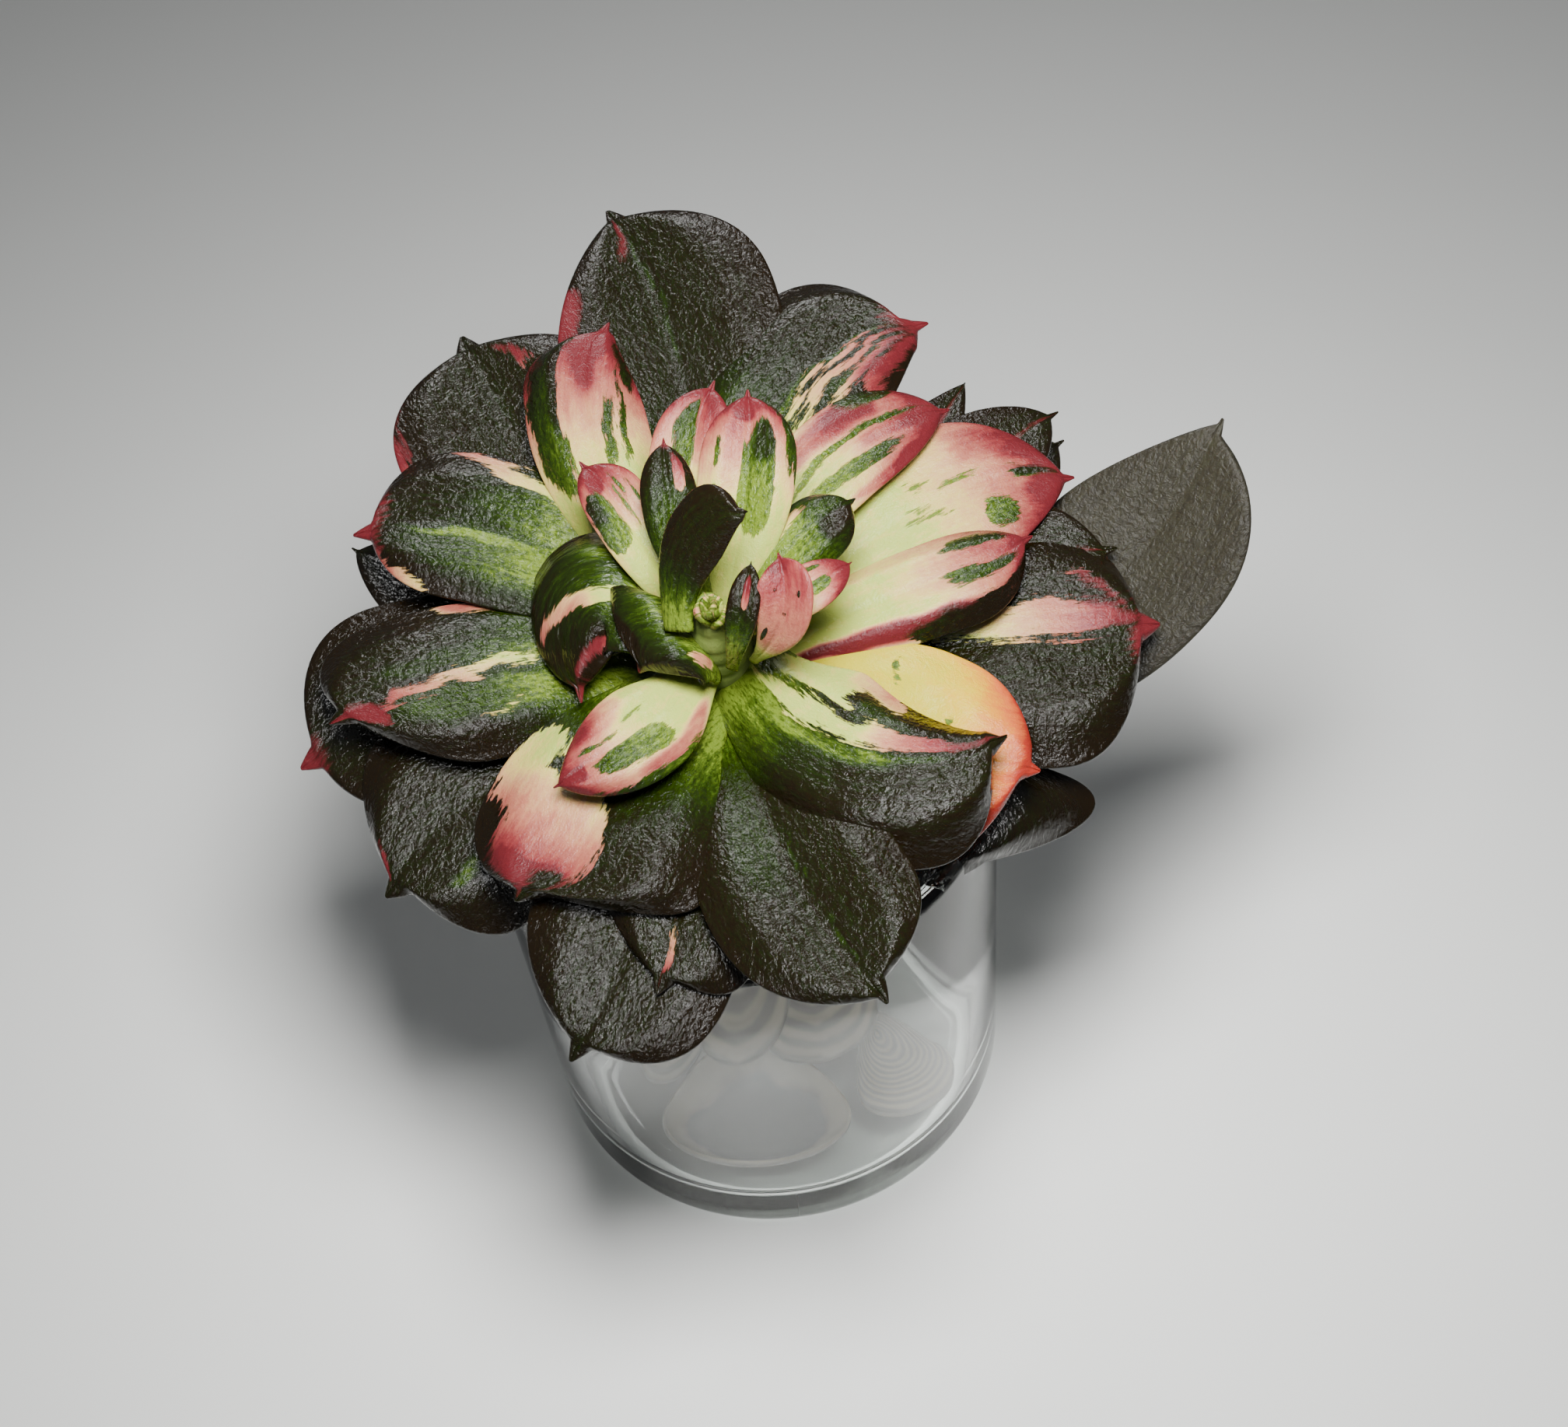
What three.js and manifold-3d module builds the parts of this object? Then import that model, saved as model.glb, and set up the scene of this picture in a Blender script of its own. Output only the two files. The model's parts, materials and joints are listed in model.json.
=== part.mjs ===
// A variegated black echeveria, grown as one rosette on a short stem. Its lower leaves rest on the rim
// of a small clear tumbler, which holds a few seashells.
// Millimetres, +Z up, +Y away from the front, origin at the middle of the tumbler's foot.

import * as THREE from 'three';
import { mergeVertices } from 'three/addons/utils/BufferGeometryUtils.js';
import Module from 'manifold-3d';

const wasm = await Module();
wasm.setup();

// Tumbler
const GLASS_RADIUS = 24;
const GLASS_HEIGHT = 48;
const GLASS_WALL = 2;
const GLASS_FLOOR = 4.5;
const GLASS_HEEL = 3.2;
const GLASS_SIDES = 40;

// Rosette: its axis leans towards the front, and its heart sits over the middle of the tumbler
const LEAN = THREE.MathUtils.degToRad(20);
const HEART_HEIGHT = 67;
const HEART_ON_STEM = 20;

// Stem: radius against height along the rosette's axis, and the way it bends down into the tumbler
const STEM_PROFILE = [[-18, 2.6], [-17.2, 3.2], [-8, 3.4], [0, 4.4], [10, 3.6], [18, 2.2], [21, 1]];
const STEM_BEND = 7;
const STEM_SIDES = 12;

// Clearance between pieces that touch, and the smallest detail that a cut may leave
const GAP = 0.3;
const TIDY = 0.08;

// Leaves, from the heart outwards. Each one is fitted under those that come before it.
// az, reach and top place the tip, in degrees and millimetres round and along the rosette's axis.
// from is the height of the root on the stem, and turn and root move it round and away from the axis.
// arch lifts the middle, sway bends it sideways and hook bends it nearer the tip. skew moves the blade off
// its midrib, and lean lets its right half run ahead of the left, as seen from the heart.
// cup raises the margins, fold creases the midrib, tuck rolls the margins down, wave ripples them and roll
// turns the whole leaf. base is how wide its foot is, widest where it is widest, blunt how round its end
// is and flare how wide its point. lop makes the right half blunter, and early widens the left half sooner.
const LEAF_SHAPE = {
  turn: 0, root: 0, arch: 2, sway: 0, hook: 0, skew: 0, lean: 0, cup: 0.15, fold: 0, tuck: 0, wave: 0,
  roll: 0, base: 0.42, blunt: 0.8, lop: 0, flare: 1.05, widest: 0.62, early: 0,
};
const LEAVES = {
  dark_centre: { az: 52, reach: 6.8, top: 29, from: 20.3, width: 5.8, turn: -220, root: 3, arch: 0,
    sway: -2.4, skew: -0.38, cup: 0.05, tuck: 0.1, base: 0.5, blunt: 0.75, lop: -0.45, tint: 'dark' },
  coral: { az: 28, reach: 7, top: 25, from: 16.6, width: 4.9, turn: -70, root: 4, sway: 1.3, hook: 0.9,
    cup: 0.2, fold: 0.1, base: 0.18, widest: 0.68, tint: 'coral' },
  dark_small: { az: 38, reach: 5, top: 24.5, from: 17.5, width: 2.8, turn: -110, root: 3.6, sway: 0.4,
    blunt: 0.6, tint: 'dark' },
  pink_tip: { az: 17, reach: 13, top: 20, from: 16, width: 4.5, sway: 1, cup: 0.1, blunt: 0.5,
    tint: 'pink' },
  green_right: { az: 37, reach: 17, top: 19, from: 14, width: 6.5, sway: -0.5, cup: 0.05, tuck: 0.25,
    blunt: 0.9, tint: 'green' },
  inner_small: { az: 98, reach: 16.5, top: 23, from: 15, width: 5, sway: -1, tuck: 0.2, blunt: 0.7,
    tint: 'green' },
  inner_left: { az: 121, reach: 19.5, top: 20, from: 13, width: 5.8, sway: -0.5, skew: 0.3, fold: 0.1,
    tuck: 0.15, blunt: 0.9, tint: 'cream' },
  inner_right: { az: 75, reach: 21, top: 22.5, from: 14, width: 8.5, sway: 0.8, skew: 0.1, cup: 0.1,
    fold: 0.15, tuck: 0.2, blunt: 0.7, tint: 'cream' },
  inner_back: { az: 83, reach: 22, top: 22, from: 12, width: 7.5, sway: -2, skew: -0.1, cup: 0.12,
    fold: 0.1, blunt: 0.7, tint: 'green' },
  front_lip: { az: -158, reach: 7.4, top: 17.2, from: 15, width: 11.5, arch: 3, skew: 0.6, lean: 0.3,
    cup: 0.1, tuck: 0.35, base: 0.6, blunt: 1, tint: 'green' },
  left_hook: { az: -165, reach: 12.9, top: 13.3, from: 13, width: 12, arch: 3.4, sway: 3.4, hook: 3.6,
    skew: 0.45, cup: 0.1, tuck: 0.4, base: 0.5, tint: 'green' },
  small_front: { az: -142, reach: 19.2, top: 16.5, from: 13, width: 9, sway: -1.8, skew: 0.05, cup: 0.05,
    tuck: 0.2, blunt: 0.4, widest: 0.5, tint: 'cream' },
  big_front: { az: -28, reach: 26.5, top: 17, from: 11.5, width: 16, sway: 5, skew: 0.32, cup: 0.05,
    fold: -0.1, tuck: 0.35, base: 0.5, blunt: 0.65, lop: 0.4, widest: 0.52, early: 0.09, tint: 'dark' },
  cream_right: { az: 14, reach: 30, top: 13, from: 9, width: 9, sway: 0.6, skew: 0.25, cup: 0, tuck: 0.3,
    base: 0.6, blunt: 0.75, flare: 1.5, tint: 'cream' },
  pink_back: { az: 42, reach: 32, top: 12, from: 10, width: 9.6, sway: -3.8, skew: -0.22, cup: 0.1,
    fold: 0.1, tuck: 0.15, blunt: 0.6, flare: 1.6, tint: 'pink' },
  striped_back: { az: 101, reach: 34, top: 15, from: 9, width: 11.2, sway: -4, skew: -0.42, cup: 0,
    tuck: 0.3, base: 0.33, blunt: 0.9, lop: -0.35, widest: 0.7, early: -0.05, tint: 'pink' },
  cream_back: { az: 22, reach: 37, top: 10, from: 7, width: 15.6, sway: -2.5, skew: -0.27, cup: 0.12,
    tuck: 0.1, blunt: 0.5, flare: 1.5, widest: 0.58, tint: 'cream' },
  left_top: { az: 153, reach: 36, top: 12, from: 8, width: 14.5, sway: 3.8, skew: 0.2, cup: 0.08,
    fold: 0.15, tuck: 0.2, base: 0.33, blunt: 1, tint: 'green' },
  left: { az: -177, reach: 35, top: 12.2, from: 7, width: 15.5, sway: 2.4, skew: -0.05, lean: 0.62,
    cup: 0.05, fold: 0.08, tuck: 0.25, blunt: 1, tint: 'dark' },
  pink_patch: { az: -134, reach: 28.2, top: 13, from: 9.5, width: 21.4, sway: 0.6, skew: -0.36, lean: 0.25,
    tuck: 0.25, roll: -6, blunt: 1, lop: -0.15, tint: 'pink' },
  yellow: { az: -29, reach: 30, top: 12.5, from: 8, width: 18, skew: 0.3, tuck: 0.15, blunt: 0.85,
    lop: 0.15, tint: 'yellow' },
  back_right: { az: 53, reach: 38.5, top: 12, from: 6, width: 17, sway: -6, skew: -0.4, cup: 0.05,
    fold: 0.12, tuck: 0.25, blunt: 0.85, lop: -0.25, tint: 'dark' },
  front_main: { az: -73, reach: 35.3, top: 17, from: 8, width: 17, sway: 1.8, skew: 0.05, cup: 0.05,
    fold: 0.2, tuck: 0.15, roll: -6, blunt: 0.78, lop: -0.3, tint: 'dark' },
  front_mid: { az: -106, reach: 30.8, top: 12.5, from: 5, width: 14.5, arch: 2.6, skew: -0.05, lean: -0.5,
    cup: 0.05, tuck: 0.15, blunt: 1, lop: -0.2, tint: 'dark' },
  right_band: { az: -2, reach: 39.5, top: 9.5, from: 4, width: 23, sway: -0.5, skew: 0.14, cup: 0.05,
    fold: 0.1, tuck: 0.2, blunt: 1, tint: 'dark' },
  back: { az: 97, reach: 48, top: 12, from: 4, width: 22.3, sway: 2.4, skew: 0.06, cup: 0.05, fold: 0.28,
    tuck: 0.1, blunt: 0.6, lop: 0.13, flare: 1.7, widest: 0.57, early: 0.06, tint: 'dark' },
  back_left: { az: 120, reach: 42, top: 11, from: 3, width: 22, sway: -2.2, cup: 0.1, fold: 0.18,
    tuck: 0.1, blunt: 0.95, tint: 'dark' },
  low_right: { az: -56, reach: 27, top: 6, from: 1, width: 23, arch: 3, skew: -0.5, lean: -0.8, cup: 0.1,
    tuck: 0.3, blunt: 0.9, lop: -0.4, flare: 2, tint: 'dark' },
  low_left: { az: -152, reach: 36, top: 7.5, from: 4, width: 21.5, sway: 2, skew: 0.1, lean: -0.1,
    cup: 0.1, tuck: 0.2, wave: 0.16, blunt: 1, lop: -0.15, tint: 'dark' },
  front_low: { az: -116, reach: 37.6, top: 10, from: 3, width: 19, arch: 4, sway: -1.6, skew: -0.04,
    lean: -0.15, cup: 0.12, tuck: 0.1, blunt: 0.9, lop: -0.1, tint: 'dark' },
  far_back: { az: 32, reach: 40.3, top: 9, from: 4.5, width: 11, sway: -1, skew: 0.1, blunt: 0.6,
    tint: 'dark' },
  right_back: { az: 46, reach: 38, top: 6, from: 1, width: 9, skew: 0.3, blunt: 0.1, tint: 'dark' },
  left_low: { az: -175, reach: 39.4, top: 6, from: 2.5, width: 20, sway: 3, skew: 0.15, blunt: 1,
    tint: 'dark' },
  left_under: { az: 151, reach: 38.9, top: 4.5, from: 0.5, width: 11, sway: -3, skew: 0.3, blunt: 0.4,
    tint: 'dark' },
  right_under: { az: 10, reach: 37.6, top: 9.5, from: 1, width: 14, skew: -0.2, blunt: 0.7, tint: 'dark' },
  far_right: { az: 18, reach: 50, top: 15, from: 1, width: 18, arch: -4, sway: 8.4, skew: 0.05, cup: 0.08,
    fold: 0.05, roll: -10, blunt: 0.45, lop: 0.2, widest: 0.7, tint: 'grey' },
  far_under: { az: 30, reach: 40.2, top: 5.5, from: 0, width: 13, blunt: 0.5, tint: 'dark' },
  back_under: { az: 80, reach: 32, top: 6, from: 1, width: 16, tint: 'dark' },
};

// How thick a leaf is for its width, and how full and round its two faces are
const THICKNESS = { least: 1.2, perWidth: 0.075, thins: 0.25, margin: 1.5 };
const FACES = { top: 0.38, topRound: 3.5, under: 0.62, underRound: 2.4 };
const RIPPLES = 1.6;
const FOLD_ROUND = 0.1;
const TUCK = { from: 0.45, steep: 1.5 };

// A root's place out from the axis as a share of the stem's radius, and what makes the late bend's cubic 1
// at its highest
const ROOT_DEPTH = 0.6;
const LATE_BEND = 6.75;

// How a leaf's end rounds off, from a sharp end to a blunt one, and the small point that it keeps
const END = { shortens: 0.13, round: 1.5, rounder: 1.9, fall: 0.95, fallsLess: 0.4, least: 0.03 };
const LEAST_BLUNT = 0.05;

// The cross-sections that draw a leaf, as shares of its length
const LEAF_STATIONS = [0, 0.15, 0.32, 0.48, 0.62, 0.74, 0.84, 0.905, 0.945, 0.975];
const LEAF_SIDES = 10;

// Heart: tiny leaves, each a golden angle on from the last, and each a step further out and down
const HEART_LEAVES = 7;
const GOLDEN_ANGLE = 137.5;
const HEART_FIRST = { reach: 0.5, top: 24.5, from: 20, width: 1.6 };
const HEART_STEP = { reach: 0.22, top: -0.35, from: -0.15, width: 0.12 };
const HEART_SHAPE = { root: 0.4, arch: 0.4, base: 0.7 };
const HEART_STATIONS = [0, 0.35, 0.62, 0.85];
const HEART_SIDES = 6;

// Seashells: size, then the way they are turned and where they lie before they sink to their seat
const SHELLS = {
  shell_oval: { length: 19, breadth: 11, depth: 3, beak: 0.3, turned: [176, 4, -4], at: [-3, -14] },
  shell_tan: { length: 11, breadth: 9, depth: 2.6, beak: 0.5, turned: [-14, 10, 40], at: [12.5, -11] },
  shell_pale: { length: 14, breadth: 12, depth: 3.4, beak: 0.6, turned: [12, -30, 70], at: [-11.5, -2.5] },
  shell_long: { length: 21, breadth: 12, depth: 3.6, beak: 0.4, turned: [16, 8, 30], at: [6.5, -4.5] },
  shell_ribbed: { length: 17, breadth: 18, depth: 4.6, beak: 0.85, turned: [24, -4, 4], at: [-4, -4],
    ribs: 8 },
};
const SHELL_WALL = 1.1;
const SHELL_SIDES = 20;
const SHELL_RINGS = 5;
const SHELL_DOME = 0.7;
const HOLLOW_RINGS = [0.93, 0.7, 0.4];
const RIB_HEIGHT = 0.22;
const AUGER = { length: 21, radius: 3.1, whorls: 6, taper: 0.85, ridge: 0.13, sides: 8, perWhorl: 3,
  turned: [22, -24, 60], at: [14.5, -1] };
const DROP_FROM = 34;
const TOUCHING = 1e-6;
const DROP_STEPS = [1, 0.25, 0.05];

const TINTS = {
  dark: '#241f18', grey: '#3a3d36', green: '#5c7434', cream: '#cfc79a', pink: '#c4707a', coral: '#d4707c',
  yellow: '#d9a548',
};

const finish = (color, roughness, extra = {}) => (
  new THREE.MeshStandardMaterial({ color, roughness, ...extra })
);

const clamp = THREE.MathUtils.clamp;

// Reads a table of [place, value] rows, straight between the rows
function along(table, place) {
  const next = table.findIndex(([end]) => end >= place);
  if (next < 1) return next ? table.at(-1)[1] : table[0][1];
  const [[a, from], [b, to]] = [table[next - 1], table[next]];
  return from + (to - from) * (place - a) / (b - a);
}

// A closed surface through rings of points, with a point that closes it at each end
function closedSurface(first, rings, last) {
  const sides = rings[0].length;
  const points = [first, ...rings.flat(), last];
  const end = points.length - 1;
  const index = [];
  const at = (ring, side) => 1 + ring * sides + side % sides;
  for (let side = 0; side < sides; side++) {
    index.push(0, at(0, side + 1), at(0, side));
    for (let ring = 0; ring < rings.length - 1; ring++) {
      index.push(at(ring, side), at(ring, side + 1), at(ring + 1, side + 1));
      index.push(at(ring, side), at(ring + 1, side + 1), at(ring + 1, side));
    }
    index.push(end, at(rings.length - 1, side), at(rings.length - 1, side + 1));
  }
  const geometry = new THREE.BufferGeometry().setFromPoints(points);
  geometry.setIndex(index);
  return facedOut(geometry);
}

// Turns a closed surface's triangles over where they face in
function facedOut(geometry) {
  const place = geometry.attributes.position;
  const index = geometry.index.array;
  const [a, b, c] = [new THREE.Vector3(), new THREE.Vector3(), new THREE.Vector3()];
  let volume = 0;
  for (let i = 0; i < index.length; i += 3) {
    a.fromBufferAttribute(place, index[i]);
    b.fromBufferAttribute(place, index[i + 1]);
    c.fromBufferAttribute(place, index[i + 2]);
    volume += a.dot(b.cross(c)) / 6;
  }
  if (volume < 0) index.reverse();
  geometry.computeVertexNormals();
  return geometry;
}

// The body of a closed mesh, for cutting and joining
function toSolid(geometry) {
  const bare = new THREE.BufferGeometry();
  bare.setAttribute('position', geometry.attributes.position);
  bare.setIndex(geometry.index);
  const merged = mergeVertices(bare, 1e-4);
  return new wasm.Manifold(new wasm.Mesh({
    numProp: 3,
    vertProperties: new Float32Array(merged.attributes.position.array),
    triVerts: new Uint32Array(merged.index.array),
  }));
}

function toGeometry(solid) {
  const { vertProperties, triVerts } = solid.getMesh();
  const geometry = new THREE.BufferGeometry();
  geometry.setAttribute('position', new THREE.BufferAttribute(vertProperties, 3));
  geometry.setIndex(new THREE.BufferAttribute(triVerts, 1));
  geometry.computeVertexNormals();
  return geometry;
}

// The same shape, larger by the clearance on every side
function swollen(geometry, by = GAP) {
  const place = geometry.attributes.position.clone();
  const normal = geometry.attributes.normal;
  for (let i = 0; i < place.count; i++) {
    place.setXYZ(i, place.getX(i) + normal.getX(i) * by, place.getY(i) + normal.getY(i) * by,
      place.getZ(i) + normal.getZ(i) * by);
  }
  const larger = new THREE.BufferGeometry();
  larger.setAttribute('position', place);
  larger.setIndex(geometry.index);
  return toSolid(larger);
}

// What is left of a body once its neighbours are cut away: its largest piece
function fitted(solid, neighbours) {
  const rest = neighbours.reduce((body, neighbour) => body.subtract(neighbour), solid);
  const pieces = rest.simplify(TIDY).decompose();
  return pieces.reduce((largest, piece) => (piece.volume() > largest.volume() ? piece : largest));
}

const onAxis = (az, reach, height) => {
  const turn = THREE.MathUtils.degToRad(az);
  return new THREE.Vector3(reach * Math.cos(turn), reach * Math.sin(turn), height);
};

// A leaf: a midrib that arches from root to tip, with a lens-shaped section across it. The half width
// grows to its widest, then rounds off, and leaves a small point at the tip.
function leafGeometry(given, stations = LEAF_STATIONS, sides = LEAF_SIDES) {
  const leaf = { ...LEAF_SHAPE, ...given };
  const thick = THICKNESS.least + THICKNESS.perWidth * leaf.width;
  const rooted = leaf.root || ROOT_DEPTH * along(STEM_PROFILE, leaf.from);
  const root = onAxis(leaf.az + leaf.turn, rooted, leaf.from);
  const tip = onAxis(leaf.az, leaf.reach, leaf.top);
  const length = root.distanceTo(tip);
  const chord = tip.clone().sub(root).normalize();
  const lift = new THREE.Vector3(0, 0, 1).addScaledVector(chord, -chord.z).normalize();
  lift.applyAxisAngle(chord, -THREE.MathUtils.degToRad(leaf.roll));
  const side = chord.clone().cross(lift);

  const rings = stations.map((t) => {
    const [mid, late] = [4 * t * (1 - t), LATE_BEND * t * t * (1 - t)];
    const [midSlope, lateSlope] = [4 * (1 - 2 * t), LATE_BEND * (2 * t - 3 * t * t)];
    const centre = root.clone().addScaledVector(chord, length * t)
      .addScaledVector(lift, leaf.arch * mid)
      .addScaledVector(side, leaf.sway * mid + leaf.hook * late);
    const ahead = chord.clone().multiplyScalar(length)
      .addScaledVector(lift, leaf.arch * midSlope)
      .addScaledVector(side, leaf.sway * midSlope + leaf.hook * lateSlope).normalize();
    const across = side.clone().addScaledVector(ahead, -side.dot(ahead)).normalize();
    const up = across.clone().cross(ahead);
    const [left, right] = [-1, 1].map((way) => leaf.width / 2 * halfWidth(leaf, t, way));
    const mean = (left + right) / 2;
    const depth = thick * (1 - THICKNESS.thins * t) * Math.tanh(THICKNESS.margin * mean / thick);
    return Array.from({ length: sides }, (_, k) => {
      const angle = 2 * Math.PI * k / sides;
      const out = Math.cos(angle);
      const half = out > 0 ? right : left;
      const top = FACES.top * Math.sqrt(Math.max(0, 1 - Math.abs(out) ** FACES.topRound));
      const under = -FACES.under * Math.sqrt(Math.max(0, 1 - Math.abs(out) ** FACES.underRound));
      const ripple = leaf.wave * Math.sin(2 * Math.PI * RIPPLES * t) * out ** 3;
      const crease = leaf.fold * (Math.hypot(out, FOLD_ROUND) - FOLD_ROUND);
      const tucked = leaf.tuck * THREE.MathUtils.smoothstep(Math.abs(out), TUCK.from, 1) ** TUCK.steep;
      const rise = half * Math.sqrt(t) * (leaf.cup * out ** 2 + ripple + crease - tucked);
      return centre.clone().addScaledVector(ahead, leaf.lean * half * out * t)
        .addScaledVector(across, half * out + mean * leaf.skew * t)
        .addScaledVector(up, rise + depth * (k <= sides / 2 ? top : under));
    });
  });
  return closedSurface(root, rings, tip);
}

function heartLeaf(k) {
  const leaf = { ...HEART_SHAPE, az: GOLDEN_ANGLE * k };
  for (const [measure, first] of Object.entries(HEART_FIRST)) leaf[measure] = first + HEART_STEP[measure] * k;
  return toSolid(leafGeometry(leaf, HEART_STATIONS, HEART_SIDES));
}

// Half width of a leaf along its length, as a share of the widest. way is 1 for its right half, -1 for
// its left.
function halfWidth({ base, blunt, lop, flare, widest, early }, t, way) {
  const fullest = widest + way * early;
  const round = Math.max(LEAST_BLUNT, blunt + way * lop);
  if (t < fullest) return base + (1 - base) * THREE.MathUtils.smoothstep(t, 0, fullest);
  const past = (t - fullest) / (1 - fullest);
  const shoulder = (past / (1 - END.shortens * round)) ** (END.round + END.rounder * round);
  const body = Math.max(0, 1 - shoulder) ** (END.fall - END.fallsLess * round);
  const point = (flare * round * (1 - past) + END.least) * past;
  return Math.hypot(body, point);
}

// The stem runs down the rosette's axis, then bends upright into the tumbler
function stemGeometry() {
  const upright = new THREE.Vector3(0, Math.sin(LEAN), Math.cos(LEAN));
  const rings = STEM_PROFILE.map(([height, radius]) => {
    const bent = clamp(-height / STEM_BEND, 0, 1);
    const centre = new THREE.Vector3(0, 0, Math.max(height, 0)).addScaledVector(upright, Math.min(height, 0));
    const across = new THREE.Vector3(0, Math.cos(LEAN * bent), -Math.sin(LEAN * bent));
    return Array.from({ length: STEM_SIDES }, (_, k) => {
      const angle = 2 * Math.PI * k / STEM_SIDES;
      return centre.clone().addScaledVector(across, radius * Math.sin(angle))
        .add(new THREE.Vector3(radius * Math.cos(angle), 0, 0));
    });
  });
  const middle = (ring) => ring.reduce((sum, p) => sum.add(p), new THREE.Vector3()).divideScalar(ring.length);
  return closedSurface(middle(rings[0]), rings, middle(rings.at(-1)));
}

// The tumbler is turned in one piece: thick foot with a rounded heel, straight wall, rounded rim
function glassGeometry() {
  const inner = GLASS_RADIUS - GLASS_WALL;
  const lip = GLASS_WALL / 2;
  const arc = (x, z, radius, from, to, steps) => Array.from({ length: steps + 1 }, (_, k) => {
    const angle = THREE.MathUtils.degToRad(from + (to - from) * k / steps);
    return new THREE.Vector2(x + radius * Math.cos(angle), z + radius * Math.sin(angle));
  });
  const profile = [
    new THREE.Vector2(0, 0),
    ...arc(GLASS_RADIUS - GLASS_HEEL, GLASS_HEEL, GLASS_HEEL, -90, 0, 4),
    ...arc(GLASS_RADIUS - lip, GLASS_HEIGHT - lip, lip, 0, 180, 4),
    ...arc(inner - GLASS_HEEL, GLASS_FLOOR + GLASS_HEEL, GLASS_HEEL, 0, -90, 3),
    new THREE.Vector2(0, GLASS_FLOOR),
  ];
  const lathe = new THREE.LatheGeometry(profile, GLASS_SIDES);
  lathe.deleteAttribute('uv');
  lathe.deleteAttribute('normal');
  return facedOut(withoutSlivers(mergeVertices(lathe, 1e-3).rotateX(Math.PI / 2)));
}

// Drops the empty triangles that a lathe leaves on its axis
function withoutSlivers(geometry) {
  const index = Array.from(geometry.index.array);
  const kept = [];
  for (let i = 0; i < index.length; i += 3) {
    const corners = index.slice(i, i + 3);
    if (new Set(corners).size === 3) kept.push(...corners);
  }
  geometry.setIndex(kept);
  return geometry;
}

// Half of a bivalve: growth lines run round the beak, where the dome is highest, out to an oval margin
function valveGeometry({ length, breadth, depth, beak, ribs = 0 }) {
  const steps = ribs ? 2 * ribs : SHELL_RINGS;
  const peak = beak * breadth / 2;
  const ring = (reach, height) => Array.from({ length: SHELL_SIDES }, (_, k) => {
    const angle = 2 * Math.PI * k / SHELL_SIDES;
    const x = length / 2 * Math.cos(angle);
    const y = breadth / 2 * Math.sin(angle);
    return new THREE.Vector3(reach * x, peak + reach * (y - peak), height);
  });
  const dome = (reach) => (1 - reach ** 2) ** SHELL_DOME;
  const outside = Array.from({ length: steps }, (_, k) => {
    const reach = (k + 1) / steps;
    const rib = ribs && k < steps - 1 ? RIB_HEIGHT * (k % 2 ? 1 : -1) : 0;
    return ring(reach, depth * dome(reach) + rib);
  });
  const hollow = HOLLOW_RINGS.map((reach) => ring(reach, depth * dome(reach) - SHELL_WALL));
  return closedSurface(new THREE.Vector3(0, peak, depth), [...outside, ...hollow],
    new THREE.Vector3(0, peak, depth - SHELL_WALL));
}

// A slender spiral shell: a cone with one ridge wound round it
function augerGeometry({ length, radius, whorls, taper, ridge, sides, perWhorl }) {
  const steps = perWhorl * whorls;
  const rings = Array.from({ length: steps }, (_, step) => {
    const t = step / steps;
    return Array.from({ length: sides }, (_, k) => {
      const angle = 2 * Math.PI * k / sides;
      const wound = 1 + ridge * Math.cos(angle - 2 * Math.PI * whorls * t);
      const wide = radius * (1 - t) ** taper * wound;
      return new THREE.Vector3(wide * Math.cos(angle), wide * Math.sin(angle), length * (t - 0.5));
    });
  });
  return closedSurface(new THREE.Vector3(0, 0, -length / 2), rings, new THREE.Vector3(0, 0, length / 2));
}

// Turns a shell, holds it over the tumbler and lowers it until it meets what lies below
function seated(geometry, { turned, at }, below) {
  const [x, y, z] = turned.map(THREE.MathUtils.degToRad);
  geometry.rotateX(x).rotateY(y).rotateZ(z).translate(at[0], at[1], DROP_FROM);
  const clear = (lower) => {
    const solid = toSolid(geometry).translate([0, 0, -lower]);
    return below.every((other) => solid.intersect(other).volume() < TOUCHING);
  };
  for (const step of DROP_STEPS) {
    while (clear(step)) geometry.translate(0, 0, -step);
  }
  return geometry;
}

const plant = new THREE.Group();
plant.name = 'potted_echeveria';

function add(group, name, geometry, material) {
  const mesh = new THREE.Mesh(geometry, material);
  mesh.name = name;
  group.add(mesh);
}

// Tumbler and shells
const glass = glassGeometry();
add(plant, 'glass_tumbler', glass, finish('#dfe6e6', 0.05, { transparent: true, opacity: 0.3 }));
const inGlass = [swollen(glass)];
const pearl = finish('#d8d0bb', 0.45);
for (const [name, shell] of Object.entries({ ...SHELLS, shell_spiral: AUGER })) {
  const shape = shell.whorls ? augerGeometry(shell) : valveGeometry(shell);
  const geometry = seated(shape, shell, inGlass);
  add(plant, name, geometry, pearl);
  inGlass.push(swollen(geometry));
}

// Rosette, modelled round its own axis and then leant over the tumbler
const rosette = new THREE.Group();
rosette.rotation.x = LEAN;
rosette.position.set(0, HEART_ON_STEM * Math.sin(LEAN), HEART_HEIGHT - HEART_ON_STEM * Math.cos(LEAN));
rosette.updateMatrixWorld();
plant.add(rosette);

const leant = swollen(glass.clone().applyMatrix4(rosette.matrixWorld.clone().invert()));
const stem = stemGeometry();
const heartLeaves = Array.from({ length: HEART_LEAVES }, (_, k) => heartLeaf(k));
const heart = heartLeaves.reduce((body, leaf) => body.add(leaf));

add(rosette, 'stem', stem, finish('#8a8f5a', 0.7));
const heartGeometry = toGeometry(fitted(heart, [swollen(stem)]));
add(rosette, 'heart_leaves', heartGeometry, finish('#b9c77a', 0.5));

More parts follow.
